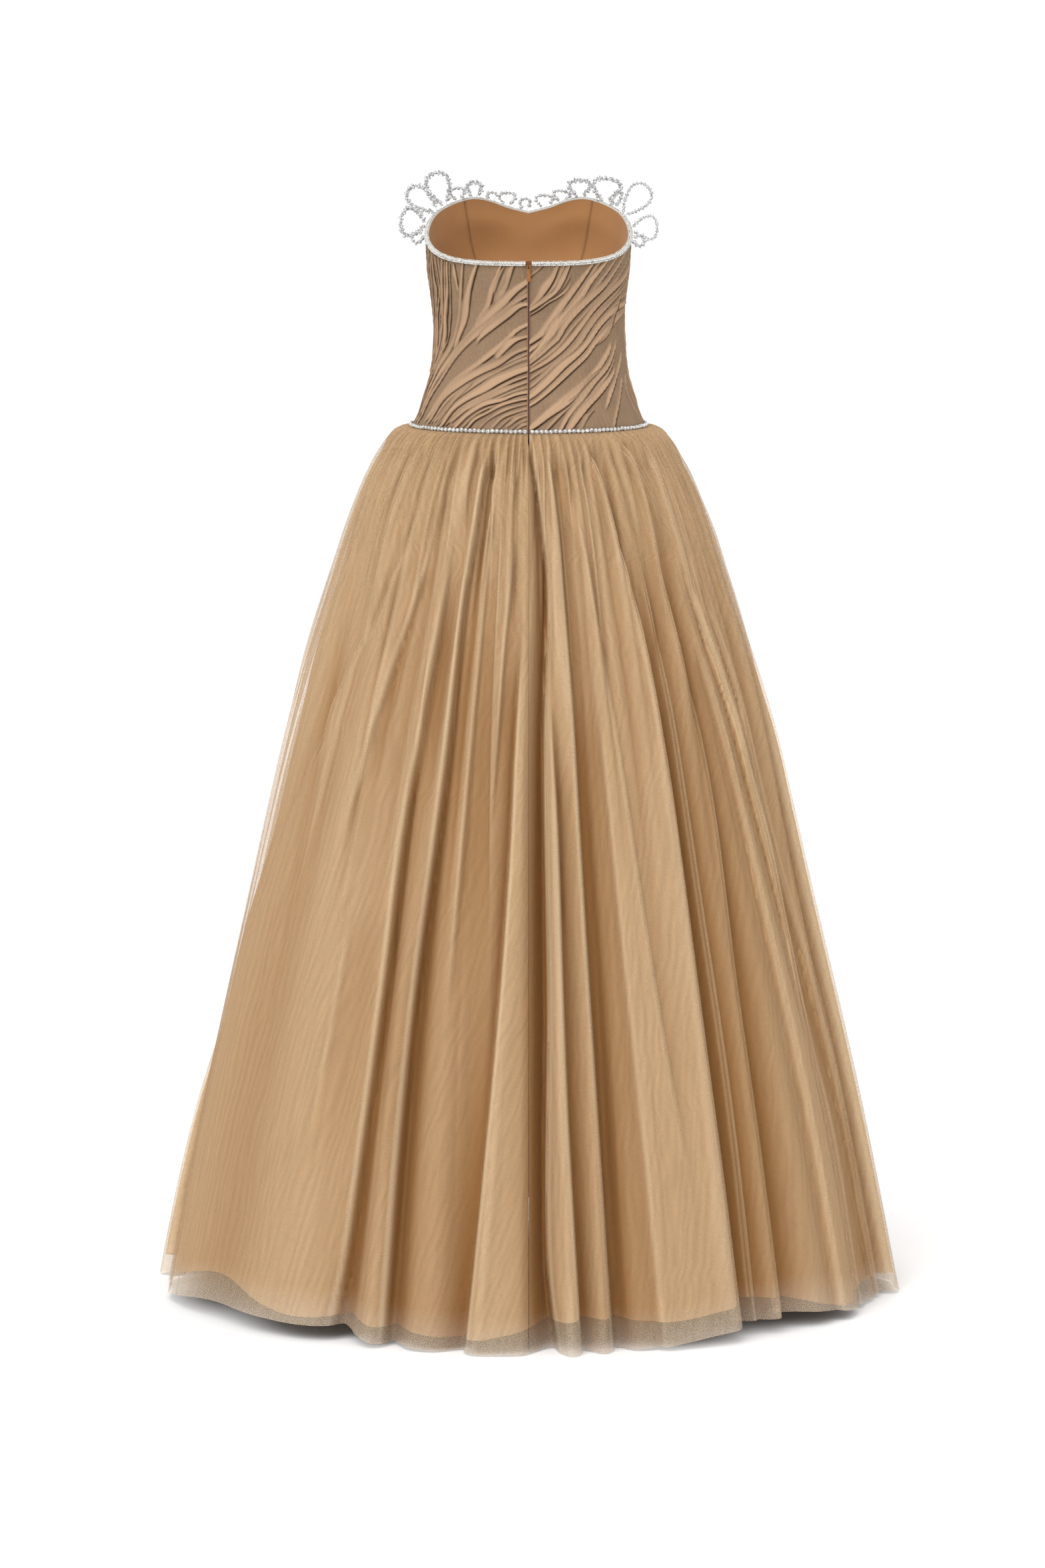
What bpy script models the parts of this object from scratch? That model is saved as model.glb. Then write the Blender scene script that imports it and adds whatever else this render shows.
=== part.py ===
"""A strapless ball gown, filled out as if worn: draped bodice, gathered tulle skirt, crystal trims, back zip.

Metres, +Z up. The origin is the middle of the natural waist. The back faces -Y and the front faces +Y.
Angles round the body are degrees of an ellipse: 0 at the centre back, 90 at +X, 180 at the centre front.
"""

import math

import bpy
from mathutils import Matrix, Vector

# Driving sizes
SEAM_GAP = 0.0003
SEAM_HEIGHT = -0.1115
HEM_HEIGHT = -1.256
BODICE_WALL = 0.0012
LINING_WALL = 0.0012
LINING_GAP = 0.0008
LINING_EASE = 0.0030
LINING_LEVELS = (0.0, 0.07, 0.18, 0.36, 0.58, 0.79, 0.92, 1.0)
SKIRT_WALL = 0.0018
UNDERSKIRT_WALL = 0.0014
UNDERSKIRT_SHORTER = 0.050
TUCK_HEIGHT = 0.0022
LONGEST_TUCK_STEP = 0.035
GATHERS = 112
NECK_TRIM_HEIGHT = 0.0046
NECK_TRIM_DEPTH = 0.0020
WAIST_TRIM_HEIGHT = 0.0044
WAIST_TRIM_DEPTH = 0.0024
STRAND_RADIUS = 0.0024
STRAND_FEET = 0.0070
ZIP_SLOT = 0.0009
ZIP_HALF_WIDTH = 0.0006
ZIP_END = -0.124
SLIDER_SIZE = (0.0064, 0.0026, 0.0080)
SLIDER_TOP = 0.1108
PULL_PIVOT_HEIGHT = 0.1052
PULL_LENGTH = 0.0208
PULL_THICKNESS = 0.0010
PULL_CLEARANCE = 0.0011

# Sections of the bodice's inner face
BODICE_COLUMNS = ("height", "half_width", "back_depth", "front_depth")
BODICE_SECTIONS = (
    (-0.1115, 0.1520, 0.1180, 0.1120),
    (-0.0955, 0.1440, 0.1125, 0.1075),
    (-0.0700, 0.1362, 0.1045, 0.1010),
    (-0.0430, 0.1278, 0.0955, 0.0955),
    (0.0000, 0.1237, 0.0885, 0.0930),
    (0.0350, 0.1236, 0.0895, 0.0985),
    (0.0700, 0.1270, 0.0945, 0.1090),
    (0.1000, 0.1306, 0.0985, 0.1150),
    (0.1300, 0.1320, 0.1000, 0.1140),
    (0.1550, 0.1308, 0.0995, 0.1090),
    (0.1850, 0.1275, 0.0985, 0.1020),
)

# Height of the neck edge from the centre back to the centre front, the same on both sides
NECK_EDGE = (
    (0.0, 0.1090),
    (30.0, 0.1095),
    (50.0, 0.1133),
    (64.0, 0.1200),
    (78.0, 0.1310),
    (90.0, 0.1420),
    (100.0, 0.1530),
    (112.0, 0.1650),
    (125.0, 0.1735),
    (138.0, 0.1800),
    (147.0, 0.1820),
    (157.0, 0.1780),
    (168.0, 0.1690),
    (180.0, 0.1620),
)

CUP_ANGLE, CUP_HEIGHT = 29.0, 0.118
CUP_SPREAD_ANGLE, CUP_SPREAD_HEIGHT, CUP_DEPTH = 19.0, 0.042, 0.017

# Bodice panels: tucks cross each one from its left and bottom edges up to its top and right edges
PANEL_COLUMNS = ("name", "left", "right", "left_tucks", "bottom_tucks", "top_tucks", "right_tucks", "bow")
BODICE_PANELS = (
    ("bodice_back_left", -84.0, 0.0, 4, 11, 5, 10, 0.011),
    ("bodice_back_right", 0.0, 84.0, 10, 5, 6, 9, -0.014),
    ("bodice_front", 84.0, 276.0, 9, 17, 17, 9, -0.012),
)

# Sections of the overskirt's outer face, along the crests of its folds
SKIRT_COLUMNS = ("height", "half_width", "back_depth", "front_depth", "fold_growth", "gather_depth")
SKIRT_SECTIONS = (
    (-0.1118, 0.1560, 0.1220, 0.1160, 0.00, 0.0010),
    (-0.1200, 0.1750, 0.1410, 0.1360, 0.03, 0.0024),
    (-0.1420, 0.1935, 0.1610, 0.1570, 0.10, 0.0030),
    (-0.1900, 0.2200, 0.1890, 0.1870, 0.20, 0.0030),
    (-0.2750, 0.2515, 0.2215, 0.2200, 0.34, 0.0),
    (-0.4800, 0.3150, 0.2850, 0.2840, 0.58, 0.0),
    (-0.7400, 0.3775, 0.3500, 0.3490, 0.76, 0.0),
    (-1.0000, 0.4380, 0.4130, 0.4120, 0.90, 0.0),
    (HEM_HEIGHT, 0.4890, 0.4650, 0.4640, 1.00, 0.0),
)

# Troughs between the skirt's large folds: where, how deep and half as wide as they are at the hem, and how
# far the hem is raised there
FOLD_COLUMNS = ("angle", "depth", "half_span", "hem_lift")
FOLDS = (
    (-84.0, 0.014, 5.0, 0.004),
    (-58.0, 0.010, 5.0, 0.024),
    (-32.0, 0.030, 4.4, 0.020),
    (-23.0, 0.020, 3.2, 0.004),
    (-11.0, 0.018, 3.0, 0.000),
    (3.2, 0.040, 3.0, 0.000),
    (9.0, 0.016, 2.2, 0.000),
    (14.0, 0.020, 2.2, 0.000),
    (37.0, 0.028, 4.0, 0.018),
    (46.6, 0.022, 3.6, 0.022),
    (70.0, 0.026, 4.4, 0.004),
    (97.0, 0.018, 4.0, 0.000),
    (113.0, 0.030, 4.4, 0.006),
    (124.0, 0.016, 3.4, 0.000),
    (141.0, 0.034, 4.4, 0.014),
    (152.0, 0.020, 3.4, 0.000),
    (169.0, 0.026, 4.0, 0.000),
    (183.0, 0.034, 4.0, 0.004),
    (193.0, 0.016, 3.0, 0.000),
    (211.0, 0.030, 4.4, 0.014),
    (226.0, 0.018, 3.8, 0.000),
    (241.0, 0.030, 4.4, 0.006),
    (257.0, 0.020, 4.0, 0.000),
)
SKIRT_PANELS = (("back_left", -90.0, 0.0), ("back_right", 0.0, 90.0), ("front", 90.0, 270.0))
WIDEST_STEP = 9.0
OVERSKIRT_SIDES = (-0.75, -0.33, 0.0, 0.33, 0.75)
UNDERSKIRT_SIDES = (-0.8, 0.0, 0.8)

# Crystal strands: loops standing on the neck edge. Tilt is from upright, in the loop's own plane, towards +X.
STRAND_COLUMNS = ("angle", "length", "width", "tilt", "turn", "lean")
STRANDS = (
    (-123.0, 0.043, 0.026, -17.0, 10.0, 12.0),
    (-112.0, 0.044, 0.022, -52.0, -6.0, 2.0),
    (-101.0, 0.032, 0.032, -84.0, 0.0, 0.0),
    (-89.0, 0.015, 0.008, -118.0, 0.0, 0.0),
    (-135.0, 0.014, 0.015, -8.0, 0.0, 10.0),
    (-147.0, 0.018, 0.015, 0.0, 0.0, 8.0),
    (-158.5, 0.008, 0.008, 0.0, 0.0, 4.0),
    (-167.5, 0.015, 0.017, 4.0, 0.0, 12.0),
    (-178.0, 0.013, 0.008, 0.0, 0.0, 2.0),
    (171.0, 0.014, 0.018, 0.0, 0.0, 12.0),
    (161.0, 0.012, 0.018, 8.0, 0.0, 4.0),
    (149.0, 0.021, 0.024, 0.0, 0.0, 12.0),
    (130.0, 0.030, 0.032, 8.0, 0.0, 16.0),
    (121.5, 0.020, 0.006, 22.0, 20.0, -6.0),
    (108.0, 0.046, 0.026, 40.0, 4.0, 2.0),
    (96.0, 0.031, 0.026, 88.0, 0.0, 0.0),
    (84.0, 0.014, 0.010, 108.0, 0.0, 0.0),
)
STRAND_POINTS = 6
STRAND_STUB = 0.0016


def named(columns, row):
    return dict(zip(columns, row))


def smooth_read(pairs, x):
    """The value at x of a smooth curve through (x, value) pairs, level beyond the ends."""
    if x <= pairs[0][0]:
        return pairs[0][1]
    if x >= pairs[-1][0]:
        return pairs[-1][1]
    i = next(i for i in range(len(pairs) - 1) if x <= pairs[i + 1][0])
    (x1, y1), (x2, y2) = pairs[i], pairs[i + 1]
    x0, y0 = pairs[i - 1] if i else (2 * x1 - x2, 2 * y1 - y2)
    x3, y3 = pairs[i + 2] if i + 2 < len(pairs) else (2 * x2 - x1, 2 * y2 - y1)
    span = x2 - x1
    slope1 = (y2 - y0) / (x2 - x0) * span
    slope2 = (y3 - y1) / (x3 - x1) * span
    t = (x - x1) / span
    t2, t3 = t * t, t * t * t
    return (2 * t3 - 3 * t2 + 1) * y1 + (t3 - 2 * t2 + t) * slope1 + (3 * t2 - 2 * t3) * y2 + (t3 - t2) * slope2


def column_pairs(columns, rows, name):
    """(height, value) pairs of one column, lowest first."""
    return sorted((row[0], row[columns.index(name)]) for row in rows)


BODICE_CURVES = {name: column_pairs(BODICE_COLUMNS, BODICE_SECTIONS, name) for name in BODICE_COLUMNS[1:]}


def wrap(angle):
    """The same angle between -180 and 180."""
    return (angle + 180.0) % 360.0 - 180.0


def ring_point(half_width, back_depth, front_depth, angle, out=0.0):
    """(x, y) on the ellipse of a section, moved out along its normal."""
    a = math.radians(angle)
    depth = back_depth if math.cos(a) >= 0 else front_depth
    x, y = half_width * math.sin(a), -depth * math.cos(a)
    nx, ny = depth * math.sin(a), -half_width * math.cos(a)
    size = math.hypot(nx, ny)
    return x + out * nx / size, y + out * ny / size


def neck_height(angle):
    return smooth_read(NECK_EDGE, abs(wrap(angle)))


def cup_out(angle, height):
    """How far the two cups stand out of the plain section."""
    across = (abs(abs(wrap(angle)) - 180.0) - CUP_ANGLE) / CUP_SPREAD_ANGLE
    up = (height - CUP_HEIGHT) / CUP_SPREAD_HEIGHT
    return CUP_DEPTH * math.exp(-across * across - up * up)


def body_point(angle, height, out):
    """A point of the bodice, out from its inner face."""
    sizes = [smooth_read(BODICE_CURVES[name], height) for name in BODICE_COLUMNS[1:]]
    x, y = ring_point(*sizes, angle, out + cup_out(angle, height))
    return Vector((x, y, height))


def bridge(first, second):
    """Triangles between two rows of (place, index) whose counts may differ, in order of place."""
    faces, i, j = [], 0, 0
    while i < len(first) - 1 or j < len(second) - 1:
        step_first = j == len(second) - 1 or (
            i < len(first) - 1 and first[i + 1][0] + first[i][0] <= second[j + 1][0] + second[j][0]
        )
        if step_first:
            faces.append((first[i][1], second[j][1], first[i + 1][1]))
            i += 1
        else:
            faces.append((first[i][1], second[j][1], second[j + 1][1]))
            j += 1
    return faces


def rim(outer, inner):
    """Triangles that close the wall along one edge of it."""
    faces = []
    for k in range(len(outer) - 1):
        faces.append((outer[k], outer[k + 1], inner[k + 1]))
        faces.append((outer[k], inner[k + 1], inner[k]))
    return faces


def cloth_wall(name, rows, material):
    """A closed wall from rows of (place along the row, outer point, inner point)."""
    points, outer, inner = [], [], []
    for row in rows:
        outer.append([(place, len(points) + k) for k, (place, _, _) in enumerate(row)])
        points += [point for _, point, _ in row]
        inner.append([(place, len(points) + k) for k, (place, _, _) in enumerate(row)])
        points += [point for _, _, point in row]
    faces = []
    for k in range(len(rows) - 1):
        faces += bridge(outer[k], outer[k + 1])
        faces += [face[::-1] for face in bridge(inner[k], inner[k + 1])]
    first = [[index for _, index in side[0]] for side in (outer, inner)]
    last = [[index for _, index in side[-1]] for side in (outer, inner)]
    left = [[row[0][1] for row in side] for side in (outer, inner)]
    right = [[row[-1][1] for row in side] for side in (outer, inner)]
    faces += rim(*first) + [face[::-1] for face in rim(*last)]
    faces += [face[::-1] for face in rim(*left)] + rim(*right)
    return mesh_object(name, points, faces, material)


def mesh_object(name, points, faces, material):
    mesh = bpy.data.meshes.new(name)
    mesh.from_pydata([tuple(point) for point in points], [], faces)
    volume = sum(
        Vector(points[a]).dot(Vector(points[b]).cross(Vector(points[c]))) for a, b, c in triangles(faces)
    )
    if volume < 0:
        mesh.flip_normals()
    mesh.shade_smooth()
    mesh.set_sharp_from_angle(angle=math.radians(50.0))
    mesh.materials.append(material)
    obj = bpy.data.objects.new(name, mesh)
    bpy.context.scene.collection.objects.link(obj)
    return obj


def triangles(faces):
    for face in faces:
        for k in range(1, len(face) - 1):
            yield face[0], face[k], face[k + 1]


def make_material(name, colour, roughness, metallic=0.0, alpha=1.0):
    material = bpy.data.materials.new(name)
    material.use_nodes = True
    shader = material.node_tree.nodes["Principled BSDF"]
    shader.inputs["Base Color"].default_value = (*colour, 1.0)
    shader.inputs["Roughness"].default_value = roughness
    shader.inputs["Metallic"].default_value = metallic
    shader.inputs["Alpha"].default_value = alpha
    return material


def path_place(k, first_count, second_count, first, second, first_power=1.0, second_power=1.0):
    """The k-th place on a path of two edges, each a function of a fraction from 0 to 1."""
    if k <= first_count:
        return first((k / first_count) ** first_power)
    return second(((k - first_count) / second_count) ** second_power)


def edge_shift(angle):
    """Degrees that a panel's edge keeps from its seam: half a seam gap, or the zip's slot at the centre back."""
    keep = ZIP_SLOT if angle == 0.0 else SEAM_GAP / 2
    return math.degrees(keep / 0.125)


def tuck_height(k):
    """Height of the k-th tuck, a little uneven."""
    return TUCK_HEIGHT * (1.0 + 0.22 * math.sin(2.4 * k) + 0.1 * math.sin(5.1 * k + 1.0))


def draped_panel(panel, material):
    """A bodice panel whose grid follows its slanting tucks."""
    left = panel["left"] + edge_shift(panel["left"])
    right = panel["right"] - edge_shift(panel["right"])
    count = panel["left_tucks"] + panel["bottom_tucks"]

    def top(f):
        angle = left + (right - left) * f
        return angle, neck_height(angle)

    def bottom(f):
        return left + (right - left) * f, SEAM_HEIGHT

    def down(angle):
        high = neck_height(angle)
        return lambda f: (angle, high + (SEAM_HEIGHT - high) * f)

    rows = []
    for step in range(2 * count + 1):
        k = step // 2 + 0.4 * (step % 2)
        start = path_place(k, panel["left_tucks"], panel["bottom_tucks"], down(left), bottom)
        end = path_place(k, panel["top_tucks"], panel["right_tucks"], top, down(right))
        run = math.hypot(math.radians(end[0] - start[0]) * 0.125, end[1] - start[1])
        parts = math.ceil(run / LONGEST_TUCK_STEP) if run > 0.001 else 0
        bow = panel["bow"] * 4 * (k / count) * (1 - k / count)
        raised = tuck_height(step) if step % 2 else 0.0
        row = []
        for n in range(parts + 1):
            s = n / parts if parts else 0.0
            angle = start[0] + (end[0] - start[0]) * s
            height = start[1] + (end[1] - start[1]) * s + bow * math.sin(math.pi * s)
            fade = 0.45 + 0.55 * math.sin(math.pi * s)
            outer = body_point(angle, height, BODICE_WALL + raised * fade)
            row.append((s, outer, body_point(angle, height, 0.0)))
        rows.append(row)
    return cloth_wall(panel["name"], rows, material)


def princess_angle(height):
    """Degrees from the centre back of the seam between the centre front lining and the side lining."""
    return 139.0 + (152.0 - 139.0) * min(1.0, max(0.0, (0.18 - height) / 0.12))


def lining_panel(name, left, right, steps, material):
    """A plain lining panel between two edges, each a function of the height that gives an angle."""
    rows = []
    for level in LINING_LEVELS:
        row = []
        for k in range(steps + 1):
            f = k / steps
            height = SEAM_HEIGHT
            for _ in range(3):
                angle = left(height) + (right(height) - left(height)) * f
                high = neck_height(angle) - 0.0008
                height = SEAM_HEIGHT + (high - SEAM_HEIGHT) * level
            gap = LINING_GAP + LINING_EASE * min(1.0, 2.5 * math.sin(math.pi * level))
            outer = body_point(angle, height, -gap)
            inner = body_point(angle, height, -gap - LINING_WALL)
            row.append((f, outer, inner))
        rows.append(row)
    return cloth_wall(name, rows, material)


def band(name, start, end, steps, lower, upper, inner_out, depth, material):
    """A band round the bodice from one angle to another, between two heights given as functions of the angle."""
    rows = []
    for edge in (lower, upper):
        row = []
        for k in range(steps + 1):
            angle = start + (end - start) * k / steps
            height = edge(angle)
            row.append((k, body_point(angle, height, inner_out + depth), body_point(angle, height, inner_out)))
        rows.append(row)
    return cloth_wall(name, rows, material)


def fold_profile(angle):
    """(trough depth, hem lift) at the hem at this angle."""
    depth, lift = 0.0, 0.0
    folds = [named(FOLD_COLUMNS, row) for row in FOLDS]
    for fold in folds:
        away = abs(wrap(angle - fold["angle"]))
        if away < fold["half_span"]:
            depth += fold["depth"] * 0.5 * (1 + math.cos(math.pi * away / fold["half_span"]))
    place = (angle - folds[0]["angle"]) % 360.0
    starts = [fold["angle"] - folds[0]["angle"] for fold in folds] + [360.0]
    lifts = [fold["hem_lift"] for fold in folds] + [folds[0]["hem_lift"]]
    for k in range(len(folds)):
        if starts[k] <= place <= starts[k + 1]:
            f = (place - starts[k]) / (starts[k + 1] - starts[k])
            f = f * f * (3 - 2 * f)
            lift = lifts[k] + (lifts[k + 1] - lifts[k]) * f
    return depth, lift


SKIRT_CURVES = {name: column_pairs(SKIRT_COLUMNS, SKIRT_SECTIONS, name) for name in SKIRT_COLUMNS[1:]}


def skirt_point(angle, height, gather=0.0):
    """A point of the overskirt's outer face, with its large folds; gather moves it out."""
    sizes = [smooth_read(SKIRT_CURVES[name], height) for name in ("half_width", "back_depth", "front_depth")]
    growth = smooth_read(SKIRT_CURVES["fold_growth"], height)
    depth, lift = fold_profile(angle)
    x, y = ring_point(*sizes, angle, gather - depth * growth)
    return Vector((x, y, height + lift * growth**3))


def skirt_normal(angle, height):
    """The outward normal of the skirt's face without its gathers."""
    around = skirt_point(angle + 0.2, height) - skirt_point(angle - 0.2, height)
    if height > SKIRT_SECTIONS[1][0]:
        return around.cross(Vector((0, 0, 1))).normalized()
    step = 0.002 if height > -0.2 else 0.01
    low = max(height - step, HEM_HEIGHT)
    up = skirt_point(angle, height + step) - skirt_point(angle, low)
    return around.cross(up).normalized()


def fold_angles(left, right, sides):
    """Angles of the columns between two seams: on each trough, at parts of its half span, and on the crests."""
    marks = []
    for row in FOLDS:
        fold = named(FOLD_COLUMNS, row)
        for turn in (-360.0, 0.0, 360.0):
            for side in sides:
                marks.append(fold["angle"] + turn + side * fold["half_span"])
    inside = sorted(mark for mark in marks if left + 0.9 < mark < right - 0.9)
    angles = [left]
    for mark in inside + [right]:
        gap = mark - angles[-1]
        if gap < 0.75 and mark != right:
            continue
        parts = math.ceil(gap / WIDEST_STEP)
        angles += [mark - gap * (parts - n) / parts for n in range(1, parts + 1)]
    return angles


def skirt_panel(name, left, right, material):
    """A panel of the overskirt: fine gathers at the seam that run out into the large folds."""
    rows = []
    gathers = round(GATHERS * (right - left) / 360.0)
    for row_values in SKIRT_SECTIONS:
        section = named(SKIRT_COLUMNS, row_values)
        height = section["height"]
        keep = ZIP_SLOT if height > ZIP_END - 0.004 else SEAM_GAP / 2
        shift_left = math.degrees((keep if left == 0.0 else SEAM_GAP / 2) / section["half_width"])
        shift_right = math.degrees((keep if right == 0.0 else SEAM_GAP / 2) / section["half_width"])
        start, end = left + shift_left, right - shift_right
        if section["gather_depth"]:
            steps = 2 * gathers
            angles = [start + (end - start) * k / steps for k in range(steps + 1)]
            waves = [section["gather_depth"] * (1 if k % 2 else -1) for k in range(steps + 1)]
        else:
            angles = fold_angles(start, end, OVERSKIRT_SIDES)
            waves = [0.0] * len(angles)
        row = []
        for angle, wave in zip(angles, waves):
            outer = skirt_point(angle, height, wave)
            row.append((angle, outer, outer - skirt_normal(angle, height) * SKIRT_WALL))
        rows.append(row)
    return cloth_wall(name, rows, material)


UNDERSKIRT_ROWS = (0, 1, 2, 3, 5, 6, 8)
UNDERSKIRT_INSIDE_TOP, UNDERSKIRT_INSIDE = 0.0042, 0.0085


def underskirt_panel(name, left, right, material):
    """A panel of the inner skirt, which follows the overskirt's folds from inside and ends above its hem."""
    rows = []
    for index in UNDERSKIRT_ROWS:
        section = named(SKIRT_COLUMNS, SKIRT_SECTIONS[index])
        height = section["height"]
        if index == len(SKIRT_SECTIONS) - 1:
            height += UNDERSKIRT_SHORTER
        inside = UNDERSKIRT_INSIDE if index else UNDERSKIRT_INSIDE_TOP
        shift = math.degrees(ZIP_SLOT / section["half_width"])
        row = []
        for angle in fold_angles(left + shift, right - shift, UNDERSKIRT_SIDES):
            normal = skirt_normal(angle, height)
            outer = skirt_point(angle, height) - normal * inside
            row.append((angle, outer, outer - normal * UNDERSKIRT_WALL))
        rows.append(row)
    return cloth_wall(name, rows, material)


def strand_foot(angle, on_face, trim_out):
    """(point, direction) of a foot of a strand: on the trim's face, or on top of the neck edge."""
    high = neck_height(angle)
    if on_face:
        point = body_point(angle, high - NECK_TRIM_HEIGHT / 2, trim_out)
        away = (body_point(angle, high, trim_out) - body_point(angle, high, 0.0)).normalized()
        return point + away * 1.5 * SEAM_GAP, away
    across = math.radians(2.0) * 0.13
    slope = abs(neck_height(angle + 1.0) - neck_height(angle - 1.0)) / across
    chord = (neck_height(angle + 3.0) + neck_height(angle - 3.0)) / 2 - high
    lift = 1.5 * SEAM_GAP + STRAND_RADIUS * slope + max(0.0, chord)
    return body_point(angle, high, trim_out - STRAND_RADIUS) + Vector((0.0, 0.0, lift)), Vector((0.0, 0.0, 1.0))


def strand_curve(name, strand, trim_out, material):
    """A crystal strand: a round loop on two straight feet that stand on the neck edge or its trim."""
    angle, tilt = strand["angle"], math.radians(strand["tilt"])
    on_face = abs(strand["tilt"]) > 60.0
    root, seat = strand_foot(angle, on_face, trim_out)
    root = root + seat * STRAND_STUB
    turn = Matrix.Rotation(math.radians(strand["turn"]), 3, "Z")
    lean = Matrix.Rotation(math.radians(-strand["lean"]), 3, "X")
    along = turn @ lean @ Vector((math.sin(tilt), 0.0, math.cos(tilt)))
    across = turn @ lean @ Vector((math.cos(tilt), 0.0, -math.sin(tilt)))
    spread = math.degrees(STRAND_FEET / 2 / 0.13)
    points = []
    for k in range(1, STRAND_POINTS + 1):
        s = k / (STRAND_POINTS + 1)
        side = -STRAND_FEET / 2 * math.cos(math.pi * s) - strand["width"] / 2 * math.sin(2 * math.pi * s)
        points.append(root + across * side + along * strand["length"] * math.sin(math.pi * s))
    for side in (1.0, -1.0):
        foot, seat = strand_foot(angle + side * spread, on_face, trim_out)
        stub = [foot, foot + seat * STRAND_STUB]
        points = stub + points if side > 0 else points + stub[::-1]
    data = bpy.data.curves.new(name, "CURVE")
    data.dimensions = "3D"
    data.bevel_depth = STRAND_RADIUS
    data.bevel_resolution = 1
    data.use_fill_caps = True
    spline = data.splines.new("POLY")
    spline.points.add(len(points) - 1)
    for place, point in zip(spline.points, points):
        place.co = (*point, 1.0)
    data.materials.append(material)
    obj = bpy.data.objects.new(name, data)
    bpy.context.scene.collection.objects.link(obj)
    return obj


def box_mesh(low, high):
    """(points, faces) of a box between two corners."""
    points = [Vector((x, y, z)) for x in (low[0], high[0]) for y in (low[1], high[1]) for z in (low[2], high[2])]
    faces = [(0, 1, 3, 2), (4, 6, 7, 5), (0, 4, 5, 1), (2, 3, 7, 6), (0, 2, 6, 4), (1, 5, 7, 3)]
    return points, faces


def helper(name, low, high, material, place):
    """A hidden box that a Boolean uses."""
    obj = mesh_object(name, *box_mesh(low, high), material)
    obj.location = place
    obj.hide_render = True
    obj.display_type = "WIRE"
    return obj


def add_boolean(obj, other, operation):
    modifier = obj.modifiers.new(other.name, "BOOLEAN")
    modifier.operation = operation
    modifier.object = other


def zip_pieces(metal, tape):
    """The zip's chain in its slot, its slider near the neck edge, and the pull tab on the slider's bail."""
    rows = []
    for height in (neck_height(0.0) - 0.0002, 0.07, 0.03, 0.0, -0.035, -0.07, -0.1, SEAM_HEIGHT):
        back = -body_point(0.0, height, 0.0).y
        outer = [(x, Vector((x, -back - 0.0026, height))) for x in (-ZIP_HALF_WIDTH, ZIP_HALF_WIDTH)]
        inner = [Vector((x, -back + 0.0004, height)) for x in (-ZIP_HALF_WIDTH, ZIP_HALF_WIDTH)]
        rows.append([(place, point, other) for (place, point), other in zip(outer, inner)])
    cloth_wall("zip_chain", rows, tape)

    width, depth, tall = SLIDER_SIZE
    back = -body_point(0.0, PULL_PIVOT_HEIGHT, 0.0).y
    face = back + 0.0030 + depth
    pivot = Vector((0.0, -face - PULL_CLEARANCE, PULL_PIVOT_HEIGHT))
    top = SLIDER_TOP - PULL_PIVOT_HEIGHT
    bar, near = 0.0010, PULL_CLEARANCE
    low, high = (-width / 2, near, top - tall), (width / 2, near + depth, top)
    slider = mesh_object("zip_slider", *box_mesh(low, high), metal)
    slider.location = pivot
    arch = helper("bail_block", (-bar / 2, -near - bar, -near - bar), (bar / 2, near + 0.0006, near + bar), metal, pivot)
    hole = helper("bail_hole", (-bar, -near, -near), (bar, near, near), metal, pivot)
    add_boolean(arch, hole, "DIFFERENCE")
    add_boolean(slider, arch, "UNION")
    cut = helper("slider_cut", (-bar, -near - 0.0001, -near), (bar, near - 0.0001, near), metal, pivot)
    add_boolean(slider, cut, "DIFFERENCE")

    wide_top, wide_low, half = 0.0021, 0.0025, PULL_THICKNESS / 2
    outline = ((-wide_top, 0.0005), (wide_top, 0.0005), (wide_top, -0.004), (wide_low, -0.0195))
    outline += ((wide_low - 0.0012, -PULL_LENGTH), (-wide_low + 0.0012, -PULL_LENGTH), (-wide_low, -0.0195))
    outline += ((-wide_top, -0.004),)
    count = len(outline)
    points = [Vector((x, y, z)) for y in (-half, half) for x, z in outline]
    faces = [tuple(range(count)), tuple(range(2 * count - 1, count - 1, -1))]
    faces += [((k + 1) % count, k, k + count, (k + 1) % count + count) for k in range(count)]
    pull = mesh_object("zip_pull", points, faces, metal)
    pull.location = pivot
    eye = helper("pull_eye", (-0.0012, -0.002, -0.0043), (0.0012, 0.002, -0.0005), metal, pivot)
    add_boolean(pull, eye, "DIFFERENCE")


def clear_scene():
    for obj in list(bpy.data.objects):
        bpy.data.objects.remove(obj)


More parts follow.
